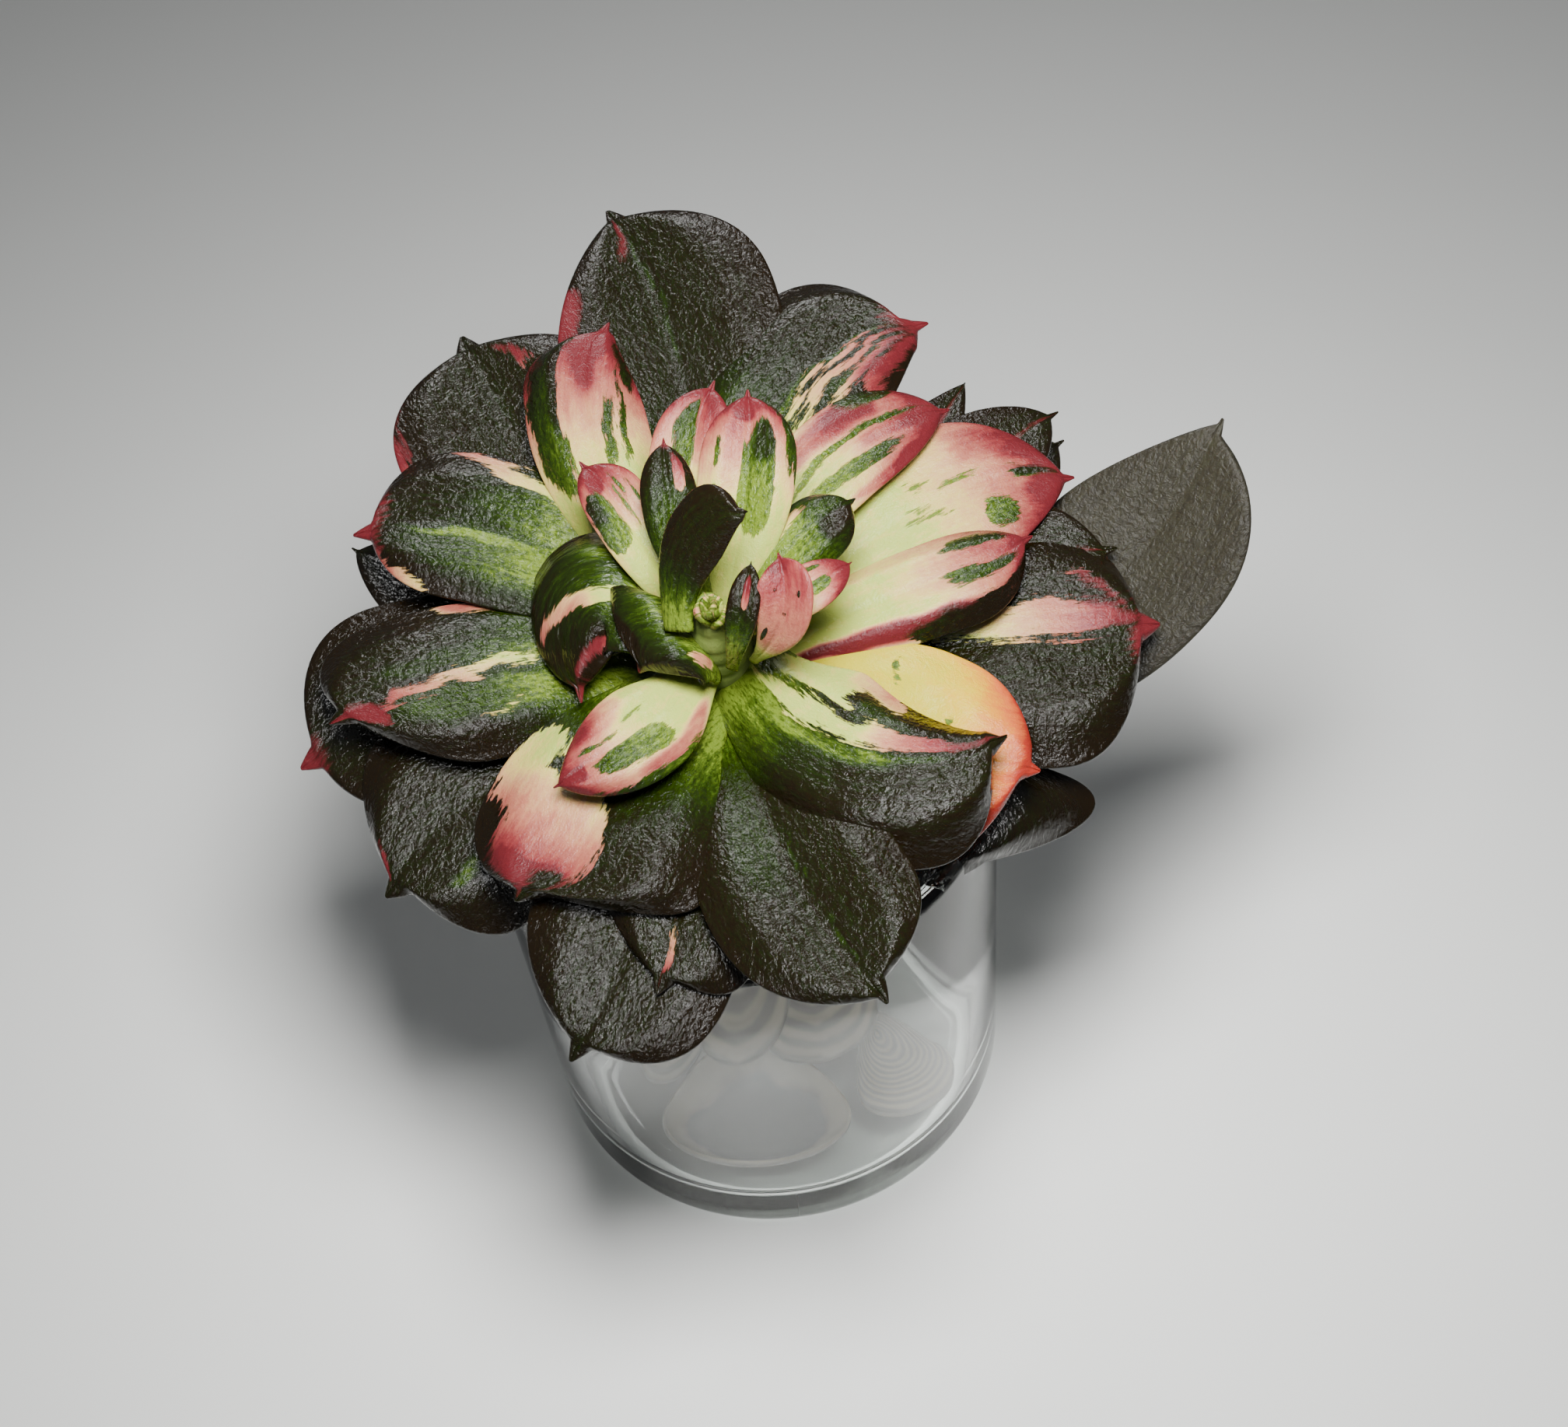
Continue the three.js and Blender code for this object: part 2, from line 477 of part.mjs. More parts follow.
const fixed = [leant, swollen(stem), swollen(heartGeometry)];
for (const [name, leaf] of Object.entries(LEAVES)) {
  const whole = leafGeometry(leaf);
  const body = fitted(toSolid(whole), fixed);
  add(rosette, `leaf_${name}`, toGeometry(body), finish(TINTS[leaf.tint], 0.45));
  fixed.push(swollen(whole));
}

export default plant;
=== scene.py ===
# %% [markdown]
# # A potted black echeveria
# One rosette of thick leaves, near-black with cream, pink and green bands, rests on the rim of a small
# clear tumbler that holds seashells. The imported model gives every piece's place, in metres. This lesson
# replaces its plain solids with fine surfaces worked out with numpy, and gives each one a finish that is
# drawn by shader nodes.

# %% Load the model and keep its box
import json

import bpy
import numpy as np
from mathutils import Matrix, Vector


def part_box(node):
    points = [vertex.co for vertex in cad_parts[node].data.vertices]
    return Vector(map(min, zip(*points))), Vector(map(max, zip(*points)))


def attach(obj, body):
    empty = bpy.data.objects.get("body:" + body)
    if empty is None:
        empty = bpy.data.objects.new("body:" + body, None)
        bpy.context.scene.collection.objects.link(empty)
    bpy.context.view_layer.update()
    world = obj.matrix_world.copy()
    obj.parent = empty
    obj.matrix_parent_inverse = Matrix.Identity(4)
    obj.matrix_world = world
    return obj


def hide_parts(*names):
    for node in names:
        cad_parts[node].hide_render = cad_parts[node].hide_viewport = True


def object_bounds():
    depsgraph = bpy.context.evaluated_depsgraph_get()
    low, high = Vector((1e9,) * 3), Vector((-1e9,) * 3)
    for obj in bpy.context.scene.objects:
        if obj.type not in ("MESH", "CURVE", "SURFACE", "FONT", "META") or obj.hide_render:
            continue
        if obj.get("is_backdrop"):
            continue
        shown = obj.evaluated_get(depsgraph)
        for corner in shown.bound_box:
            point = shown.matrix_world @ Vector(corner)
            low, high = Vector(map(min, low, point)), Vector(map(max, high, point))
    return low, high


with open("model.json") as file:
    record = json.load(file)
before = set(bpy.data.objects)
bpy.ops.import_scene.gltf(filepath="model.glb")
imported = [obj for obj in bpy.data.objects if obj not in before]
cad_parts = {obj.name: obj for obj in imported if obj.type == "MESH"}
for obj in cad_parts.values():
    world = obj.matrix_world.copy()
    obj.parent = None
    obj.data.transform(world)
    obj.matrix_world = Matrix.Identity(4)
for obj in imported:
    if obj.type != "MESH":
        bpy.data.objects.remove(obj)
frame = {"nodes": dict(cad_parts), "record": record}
packed_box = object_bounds()
print("packed model:", len(frame["nodes"]), "nodes")

# %% [markdown]
# ## The camera
# The photograph looks down on the plant by 50 degrees, from close by, with the camera turned a little
# about its own line of sight. The circle of the tumbler's foot and its two straight walls fix that view.
# A camera looks along its own -Z, so its matrix is made from three directions: right, up and back.

# %% Camera
MM = 0.001
LOOK_DOWN = np.radians(50)
ROLL = np.radians(-7.3)
DISTANCE = 193 * MM
AIM = Vector((5 * MM, 11.5 * MM, 40 * MM))
SENSOR = 36.0
FOCAL_LENGTH = 44.64
NEAREST = 10 * MM


def photo_camera():
    """A camera that looks at AIM from DISTANCE away, LOOK_DOWN above the horizon, rolled by ROLL."""
    back = Vector((0, -np.cos(LOOK_DOWN), np.sin(LOOK_DOWN)))
    level = Vector((1, 0, 0))
    upright = back.cross(level)
    right = np.cos(ROLL) * level + np.sin(ROLL) * upright
    up = -np.sin(ROLL) * level + np.cos(ROLL) * upright
    data = bpy.data.cameras.new("photo_camera")
    data.sensor_width = SENSOR
    data.lens = FOCAL_LENGTH
    data.clip_start = NEAREST
    camera = bpy.data.objects.new("photo_camera", data)
    turn = Matrix((right, up, back)).transposed().to_4x4()
    camera.matrix_world = Matrix.Translation(AIM + DISTANCE * back) @ turn
    bpy.context.collection.objects.link(camera)
    return camera


bpy.context.scene.camera = photo_camera()
print("camera at", [round(x, 3) for x in bpy.context.scene.camera.location])

# %% [markdown]
# ## Shader maths
# A finish is a small graph of nodes. Written out node by node it is long and hard to read, so one class
# wraps a socket and turns `+`, `-` and `*` into Math nodes, and one method makes any other node from its
# type, its settings and what feeds its sockets.


# %% A class for shader maths
class Field:
    """A value that changes over a surface. Arithmetic on it adds the Math nodes that work it out."""

    def __init__(self, finish, socket):
        self.finish = finish
        self.socket = socket

    def _maths(self, operation, *values):
        return self.finish.node("Math", {"operation": operation}, dict(enumerate(values)))

    def __add__(self, other):
        return self._maths("ADD", self, other)

    def __radd__(self, other):
        return self._maths("ADD", other, self)

    def __sub__(self, other):
        return self._maths("SUBTRACT", self, other)

    def __rsub__(self, other):
        return self._maths("SUBTRACT", other, self)

    def __mul__(self, other):
        return self._maths("MULTIPLY", self, other)

    def __rmul__(self, other):
        return self._maths("MULTIPLY", other, self)


class Finish:
    """A material and its nodes."""

    def __init__(self, name):
        self.material = bpy.data.materials.new(name)
        self.material.use_nodes = True
        self.tree = self.material.node_tree
        self.tree.nodes.clear()

    def node(self, kind, settings=None, sockets=None, out=0):
        """Any node: its settings are set first, then each socket takes a link or a plain value."""
        made = self.tree.nodes.new("ShaderNode" + kind)
        for name, value in (settings or {}).items():
            if name == "stops":
                fill_ramp(made.color_ramp, value)
            else:
                setattr(made, name, value)
        for name, value in (sockets or {}).items():
            if isinstance(value, Field):
                self.tree.links.new(value.socket, made.inputs[name])
            else:
                made.inputs[name].default_value = value
        return Field(self, made.outputs[out])

    def attribute(self, name, out="Fac"):
        return self.node("Attribute", {"attribute_name": name}, out=out)

    def between(self, value, low, high, start=0.0, end=1.0):
        """start where value is low or less, end where it is high or more, smooth in between."""
        sockets = {"Value": value, "From Min": low, "From Max": high, "To Min": start, "To Max": end}
        return self.node("MapRange", {"interpolation_type": "SMOOTHSTEP"}, sockets)

    def scaled(self, vector, scale):
        return self.node("VectorMath", {"operation": "MULTIPLY"}, {0: vector, 1: scale})

    def noise(self, vector, detail=2.0, rough=0.5, bend=0.0):
        sockets = {"Vector": vector, "Scale": 1.0, "Detail": detail, "Roughness": rough, "Distortion": bend}
        return self.node("TexNoise", None, sockets)

    def blend(self, share, low, high):
        """A colour that goes from low to high by share."""
        return self.node("Mix", {"data_type": "RGBA"}, {0: share, 6: low, 7: high}, out=2)

    def ramp(self, value, stops):
        return self.node("ValToRGB", {"stops": stops}, {"Fac": value})

    def surface(self, **sockets):
        """A Principled shader as the finish's surface. Names are given with _ for a space."""
        named = {name.replace("_", " "): value for name, value in sockets.items()}
        return self.output(self.node("BsdfPrincipled", None, named))

    def output(self, shader):
        """Puts a shader on the surface, and gives back the finished material."""
        end = self.tree.nodes.new("ShaderNodeOutputMaterial")
        self.tree.links.new(shader.socket, end.inputs["Surface"])
        return self.material


def fill_ramp(ramp, stops):
    """Gives a colour ramp its stops, from left to right, each as (place, red, green, blue)."""
    for place, *_ in stops[2:]:
        ramp.elements.new(place)
    for element, (place, *shade) in zip(ramp.elements, stops):
        element.position = place
        element.color = colour(*shade)


def colour(red, green, blue):
    """A colour as the share of red, green and blue light that a surface sends back."""
    return (red, green, blue, 1.0)


# %% [markdown]
# ## The stage
# The plant stands on a plain pale table under a weak, even sky and one soft lamp, close above it, that
# throws the broad dark shadow round the tumbler. The gloss comes from three broad panels, as from windows,
# and one small lamp for the sharp glints. These four are seen only in mirror images, and the lamp above only
# in what it lights, so that gloss and shadow can be set apart.

# %% Stage: table, lamps and sky
TABLE_HALF = 3.0
TABLE_CLOUDS = 6.0
TABLE_TONES = (colour(0.78, 0.785, 0.755), colour(0.82, 0.825, 0.8))
SKY_COLOUR = colour(0.93, 0.96, 1.0)
SKY_STRENGTH = 0.13
LAMPS = {
    "lamp_above": {"at": (0.012, -0.03, 0.166), "size": 0.05, "power": 0.64, "mirrored": False},
    "panel_above": {"at": (0.055, -0.085, 0.5), "size": 0.1, "power": 0.5, "lights": False},
    "panel_behind": {"at": (-0.03, 0.25, 0.42), "size": 0.15, "power": 0.7, "lights": False},
    "panel_low": {"at": (-0.1, -0.33, 0.4), "size": 0.16, "power": 0.45, "lights": False},
    "small_above": {"at": (0.0, -0.2, 0.45), "size": 0.022, "power": 0.4, "lights": False},
}


def table():
    """A flat square board, pale and matt, with faint clouds about 17 cm wide."""
    finish = Finish("table")
    place = finish.node("TexCoord", out="Object")
    cloud = finish.noise(finish.scaled(place, (TABLE_CLOUDS,) * 3), detail=2)
    tone = finish.blend(cloud, *TABLE_TONES)
    material = finish.surface(Base_Color=tone, Roughness=0.6, Specular_IOR_Level=0.2)
    half = TABLE_HALF
    mesh = bpy.data.meshes.new("table")
    corners = [(-half, -half, 0), (half, -half, 0), (half, half, 0), (-half, half, 0)]
    mesh.from_pydata(corners, [], [(0, 1, 2, 3)])
    mesh.materials.append(material)
    board = bpy.data.objects.new("table", mesh)
    bpy.context.collection.objects.link(board)
    board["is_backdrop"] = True


def lamp(name, at, size, power, mirrored=True, lights=True):
    """A square lamp that faces the plant, and that the camera doesn't see straight on."""
    data = bpy.data.lights.new(name, "AREA")
    data.size = size
    data.energy = power
    made = bpy.data.objects.new(name, data)
    made.location = at
    made.rotation_euler = (AIM - Vector(at)).to_track_quat("-Z", "Y").to_euler()
    made.visible_camera = False
    made.visible_glossy = mirrored
    made.visible_diffuse = lights
    bpy.context.collection.objects.link(made)


table()
for name, facts in LAMPS.items():
    lamp(name, **facts)
sky = bpy.data.worlds.new("sky")
sky.use_nodes = True
background = sky.node_tree.nodes["Background"]
background.inputs["Color"].default_value = SKY_COLOUR
background.inputs["Strength"].default_value = SKY_STRENGTH
bpy.context.scene.world = sky
print("lights:", ", ".join(LAMPS))

# %% [markdown]
# ## One way to make a mesh
# Most pieces here are closed surfaces: rings of points along a line, and a point that closes each end.
# numpy works the rings out all at once, as an array of ring, place in the ring, and x, y, z.


# %% A closed surface from rings
def closed_mesh(name, first, rings, last, **fields):
    """A mesh through rings of points, of shape (rings, sides, 3), closed by a point at each end.

    Each field is a number for every point of the rings, kept as an attribute that a finish can read.
    """
    count, sides = rings.shape[:2]
    points = np.vstack([first[None], rings.reshape(-1, 3), last[None]])
    ring, side = np.meshgrid(np.arange(count - 1), np.arange(sides), indexing="ij")
    here = 1 + ring * sides + side
    beside = 1 + ring * sides + (side + 1) % sides
    quads = np.stack([here, beside, beside + sides, here + sides], -1).reshape(-1, 4)
    turn = np.arange(sides)
    after = (turn + 1) % sides
    start = np.stack([0 * turn, 1 + after, 1 + turn], -1)
    top = 1 + (count - 1) * sides
    end = np.stack([0 * turn + len(points) - 1, top + turn, top + after], -1)
    volume = signed_volume(points, np.vstack([quads[:, :3], quads[:, [0, 2, 3]], start, end]))
    if volume < 0:
        quads, start, end = quads[:, ::-1], start[:, ::-1], end[:, ::-1]
    mesh = bpy.data.meshes.new(name)
    mesh.from_pydata(points.tolist(), [], quads.tolist() + start.tolist() + end.tolist())
    mesh.shade_smooth()
    for field, values in fields.items():
        every = values.reshape(-1, *values.shape[2:])
        whole = np.concatenate([values[:1].mean(1), every, values[-1:].mean(1)])
        kind, entry = ("FLOAT_VECTOR", "vector") if whole.ndim > 1 else ("FLOAT", "value")
        layer = mesh.attributes.new(field, kind, "POINT")
        layer.data.foreach_set(entry, whole.astype(np.float32).ravel())
    return mesh


def signed_volume(points, triangles):
    """The volume inside a closed mesh: a sixth of each triangle's triple product, negative if turned in."""
    a, b, c = (points[triangles[:, k]] for k in range(3))
    return np.einsum("ij,ij->i", a, np.cross(b, c)).sum() / 6


def stand_in(mesh, node, material):
    """Puts a fine mesh in place of a node of the model, with its finish."""
    mesh.materials.append(material)
    piece = bpy.data.objects.new(mesh.name, mesh)
    bpy.context.collection.objects.link(piece)
    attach(piece, "root")
    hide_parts(node)
    return piece


# %% [markdown]
# ## The leaves: their shape
# An echeveria leaf is a thick spoon: narrow where it leaves the stem, widest past the middle, rounded off
# to a small sharp point, a little hollow above and full below. One formula with a few measures draws them
# all, in the rosette's own frame: its axis leans 20 degrees towards the front.

# %% Where the rosette stands
LEAN = np.radians(20)
HEART_HEIGHT = 67.0
HEART_ON_STEM = 20.0
STEM_PROFILE = np.array([[-18, 2.6], [-17.2, 3.2], [-8, 3.4], [0, 4.4], [10, 3.6], [18, 2.2], [21, 1]])
ROSETTE_FOOT = np.array([0, HEART_ON_STEM * np.sin(LEAN), HEART_HEIGHT - HEART_ON_STEM * np.cos(LEAN)])


def leant(points):
    """Points of the rosette's frame, in millimetres, turned by LEAN about X and set over the tumbler."""
    x, y, z = np.moveaxis(points, -1, 0)
    across = y * np.cos(LEAN) - z * np.sin(LEAN)
    height = y * np.sin(LEAN) + z * np.cos(LEAN)
    return (np.stack([x, across, height], -1) + ROSETTE_FOOT) * MM


def on_axis(az, reach, height):
    """The point at azimuth az, reach away from the rosette's axis."""
    return np.array([reach * np.cos(np.radians(az)), reach * np.sin(np.radians(az)), height])


def smooth(low, high, value):
    """0 below low, 1 above high, and a smooth step between."""
    share = np.clip((value - low) / (high - low), 0, 1)
    return share * share * (3 - 2 * share)


def unit(vectors):
    """Vectors divided by their length."""
    return vectors / np.linalg.norm(vectors, axis=-1, keepdims=True)


print("foot of the rosette, in mm:", np.round(ROSETTE_FOOT, 1).tolist())

# %% [markdown]
# Each leaf's tip is placed by its azimuth, its reach from the axis and its height on it. The other
# measures bend and shape the blade. They are the same as in the model, so each fine leaf lies where its
# plain one does. A plain leaf is trimmed where it meets its neighbours. A fine one is left whole, so it
# runs into the stem at its root and crosses the leaves beside it, mostly near their roots.

# %% Measures of every leaf
LEAF_SHAPE = dict(
    turn=0, root=0, arch=2, sway=0, hook=0, skew=0, lean=0, cup=0.15, fold=0, tuck=0, wave=0, roll=0,
    base=0.42, blunt=0.8, lop=0, flare=1.05, widest=0.62, early=0, crease=0.12, rough=1.0,
)
LEAVES = {
    "dark_centre": dict(az=52, reach=6.8, top=29, stem=20.3, width=5.8, turn=-220, root=3, arch=0,
                        sway=-2.4, skew=-0.38, cup=0.05, tuck=0.1, base=0.5, blunt=0.75, lop=-0.45),
    "coral": dict(az=28, reach=7, top=25, stem=16.6, width=4.9, turn=-70, root=4, sway=1.3, hook=0.9,
                  cup=0.2, fold=0.1, base=0.18, widest=0.68),
    "dark_small": dict(az=38, reach=5, top=24.5, stem=17.5, width=2.8, turn=-110, root=3.6, sway=0.4,
                       blunt=0.6),
    "pink_tip": dict(az=17, reach=13, top=20, stem=16, width=4.5, sway=1, cup=0.1, blunt=0.5),
    "green_right": dict(az=37, reach=17, top=19, stem=14, width=6.5, sway=-0.5, cup=0.05, tuck=0.25,
                        blunt=0.9),
    "inner_small": dict(az=98, reach=16.5, top=23, stem=15, width=5, sway=-1, tuck=0.2, blunt=0.7),
    "inner_left": dict(az=121, reach=19.5, top=20, stem=13, width=5.8, sway=-0.5, skew=0.3, fold=0.1,
                       tuck=0.15, blunt=0.9),
    "inner_right": dict(az=75, reach=21, top=22.5, stem=14, width=8.5, sway=0.8, skew=0.1, cup=0.1,
                        fold=0.15, tuck=0.2, blunt=0.7),
    "inner_back": dict(az=83, reach=22, top=22, stem=12, width=7.5, sway=-2, skew=-0.1, cup=0.12, fold=0.1,
                       blunt=0.7),
    "front_lip": dict(az=-158, reach=7.4, top=17.2, stem=15, width=11.5, arch=3, skew=0.6, lean=0.3,
                      cup=0.1, tuck=0.35, base=0.6, blunt=1),
    "left_hook": dict(az=-165, reach=12.9, top=13.3, stem=13, width=12, arch=3.4, sway=3.4, hook=3.6,
                      skew=0.45, cup=0.1, tuck=0.4, base=0.5),
    "small_front": dict(az=-142, reach=19.2, top=16.5, stem=13, width=9, sway=-1.8, skew=0.05, cup=0.05,
                        tuck=0.2, blunt=0.4, widest=0.5),
    "big_front": dict(az=-28, reach=26.5, top=17, stem=11.5, width=16, sway=5, skew=0.32, cup=0.05,
                      fold=-0.1, tuck=0.35, base=0.5, blunt=0.65, lop=0.4, widest=0.52, early=0.09),
    "cream_right": dict(az=14, reach=30, top=13, stem=9, width=9, sway=0.6, skew=0.25, cup=0, tuck=0.3,
                        base=0.6, blunt=0.75, flare=1.5),
    "pink_back": dict(az=42, reach=32, top=12, stem=10, width=9.6, sway=-3.8, skew=-0.22, cup=0.1, fold=0.1,
                      tuck=0.15, blunt=0.6, flare=1.6),
    "striped_back": dict(az=101, reach=34, top=15, stem=9, width=11.2, sway=-4, skew=-0.42, cup=0, tuck=0.3,
                         base=0.33, blunt=0.9, lop=-0.35, widest=0.7, early=-0.05),
    "cream_back": dict(az=22, reach=37, top=10, stem=7, width=15.6, sway=-2.5, skew=-0.27, cup=0.12,
                       tuck=0.1, blunt=0.5, flare=1.5, widest=0.58),
    "left_top": dict(az=153, reach=36, top=12, stem=8, width=14.5, sway=3.8, skew=0.2, cup=0.08, fold=0.15,
                     tuck=0.2, base=0.33, blunt=1),
    "left": dict(az=-177, reach=35, top=12.2, stem=7, width=15.5, sway=2.4, skew=-0.05, lean=0.62, cup=0.05,
                 fold=0.08, tuck=0.25, blunt=1),
    "pink_patch": dict(az=-134, reach=28.2, top=13, stem=9.5, width=21.4, sway=0.6, skew=-0.36, lean=0.25,
                       tuck=0.25, roll=-6, blunt=1, lop=-0.15),
    "yellow": dict(az=-29, reach=30, top=12.5, stem=8, width=18, skew=0.3, tuck=0.15, blunt=0.85, lop=0.15),
    "back_right": dict(az=53, reach=38.5, top=12, stem=6, width=17, sway=-6, skew=-0.4, cup=0.05, fold=0.12,
                       tuck=0.25, blunt=0.85, lop=-0.25),
    "front_main": dict(az=-73, reach=35.3, top=17, stem=8, width=17, sway=1.8, skew=0.05, cup=0.05,
                       fold=0.2, tuck=0.15, roll=-6, blunt=0.78, lop=-0.3),
    "front_mid": dict(az=-106, reach=30.8, top=12.5, stem=5, width=14.5, arch=2.6, skew=-0.05, lean=-0.5,
                      cup=0.05, tuck=0.15, blunt=1, lop=-0.2),
    "right_band": dict(az=-2, reach=39.5, top=9.5, stem=4, width=23, sway=-0.5, skew=0.14, cup=0.05,
                       fold=0.1, tuck=0.2, blunt=1),
    "back": dict(az=97, reach=48, top=12, stem=4, width=22.3, sway=2.4, skew=0.06, cup=0.05, fold=0.28,
                 tuck=0.1, blunt=0.6, lop=0.13, flare=1.7, widest=0.57, early=0.06),
    "back_left": dict(az=120, reach=42, top=11, stem=3, width=22, sway=-2.2, cup=0.1, fold=0.18, tuck=0.1,
                      blunt=0.95),
    "low_right": dict(az=-56, reach=27, top=6, stem=1, width=23, arch=3, skew=-0.5, lean=-0.8, cup=0.1,
                      tuck=0.3, blunt=0.9, lop=-0.4, flare=2),
    "low_left": dict(az=-152, reach=36, top=7.5, stem=4, width=21.5, sway=2, skew=0.1, lean=-0.1, cup=0.1,
                     tuck=0.2, wave=0.16, blunt=1, lop=-0.15),
    "front_low": dict(az=-116, reach=37.6, top=10, stem=3, width=19, arch=4, sway=-1.6, skew=-0.04,
                      lean=-0.15, cup=0.12, tuck=0.1, blunt=0.9, lop=-0.1),
    "far_back": dict(az=32, reach=40.3, top=9, stem=4.5, width=11, sway=-1, skew=0.1, blunt=0.6),
    "right_back": dict(az=46, reach=38, top=6, stem=1, width=9, skew=0.3, blunt=0.1),
    "left_low": dict(az=-175, reach=39.4, top=6, stem=2.5, width=20, sway=3, skew=0.15, blunt=1),
    "left_under": dict(az=151, reach=38.9, top=4.5, stem=0.5, width=11, sway=-3, skew=0.3, blunt=0.4),
    "right_under": dict(az=10, reach=37.6, top=9.5, stem=1, width=14, skew=-0.2, blunt=0.7),
    "far_right": dict(az=18, reach=50, top=15, stem=1, width=18, arch=-4, sway=8.4, skew=0.05, cup=0.08,
                      fold=0.05, roll=-10, blunt=0.45, lop=0.2, widest=0.7),
    "far_under": dict(az=30, reach=40.2, top=5.5, stem=0, width=13, blunt=0.5),
    "back_under": dict(az=80, reach=32, top=6, stem=1, width=16),
}
print(len(LEAVES), "leaves")

# %% [markdown]
# The surface of a leaf is a function of two numbers: `t` runs from the root to the tip, and an angle runs
# round the section. The midrib is a straight chord, lifted and bent sideways by a parabola, and bent
# sideways again nearer the tip. Across it the section is a lens, fuller below than above, whose margins
# rise with `cup` and roll down with `tuck`. On top of that the fine leaf has what a plain solid lacks: a
# crease along the midrib, and shallow dimples.

# %% The surface of a leaf
LEAST_THICK = 1.2
THICK_FOR_WIDTH = 0.075
TIP_THINNING = 0.25
NARROW_THINNING = 1.5
TOP_SHARE = 0.38
TOP_ROUND = 3.5
UNDER_SHARE = 0.62
UNDER_ROUND = 2.4
ROOT_IN_STEM = 0.6
RIPPLES = 1.6
LATE_BEND = 6.75
FOLD_ROUND = 0.1
TUCK_FROM = 0.45
LEAST_BLUNT = 0.05
POINT_WIDTH = 0.015
CREASE_WIDTH = 0.09
CREASE_GROWS = (0.05, 0.3)
DIMPLE_WAVES = 7
DIMPLE_SIZE = 5.5
DIMPLE_PITCHES = (0.7, 1.6)
DIMPLE_DEPTH = 0.11
DIMPLES_GROW = (0.1, 0.6)
UNDER_DIMPLES = 0.5
TIP_CROWDING = 1.4


def half_width(t, base, blunt, flare, widest):
    """Half the width as a share of the widest: a smooth step from base up to it, then a rounded end.

    The end is one minus a power of how far past the widest t is, joined to a small point.
    """
    grown = base + (1 - base) * smooth(0, widest, t)
    past = np.clip((t - widest) / (1 - widest), 0, 1)
    shoulder = past / (1 - 0.13 * blunt)
    body = np.maximum(0, 1 - shoulder ** (1.5 + 1.9 * blunt)) ** (0.95 - 0.4 * blunt)
    point = (flare * blunt * (1 - past) + POINT_WIDTH) * past
    return np.where(t < widest, grown, np.hypot(body, point))


def dimples(along, across, seed, size):
    """Shallow unevenness: the mean of seven sine waves that cross a surface in seeded directions."""
    draw = np.random.default_rng(seed)
    total = 0
    for _ in range(DIMPLE_WAVES):
        way = draw.uniform(0, 2 * np.pi)
        pitch = size * draw.uniform(*DIMPLE_PITCHES)
        start = draw.uniform(0, 2 * np.pi)
        total = total + np.sin(2 * np.pi * (along * np.cos(way) + across * np.sin(way)) / pitch + start)
    return total / DIMPLE_WAVES


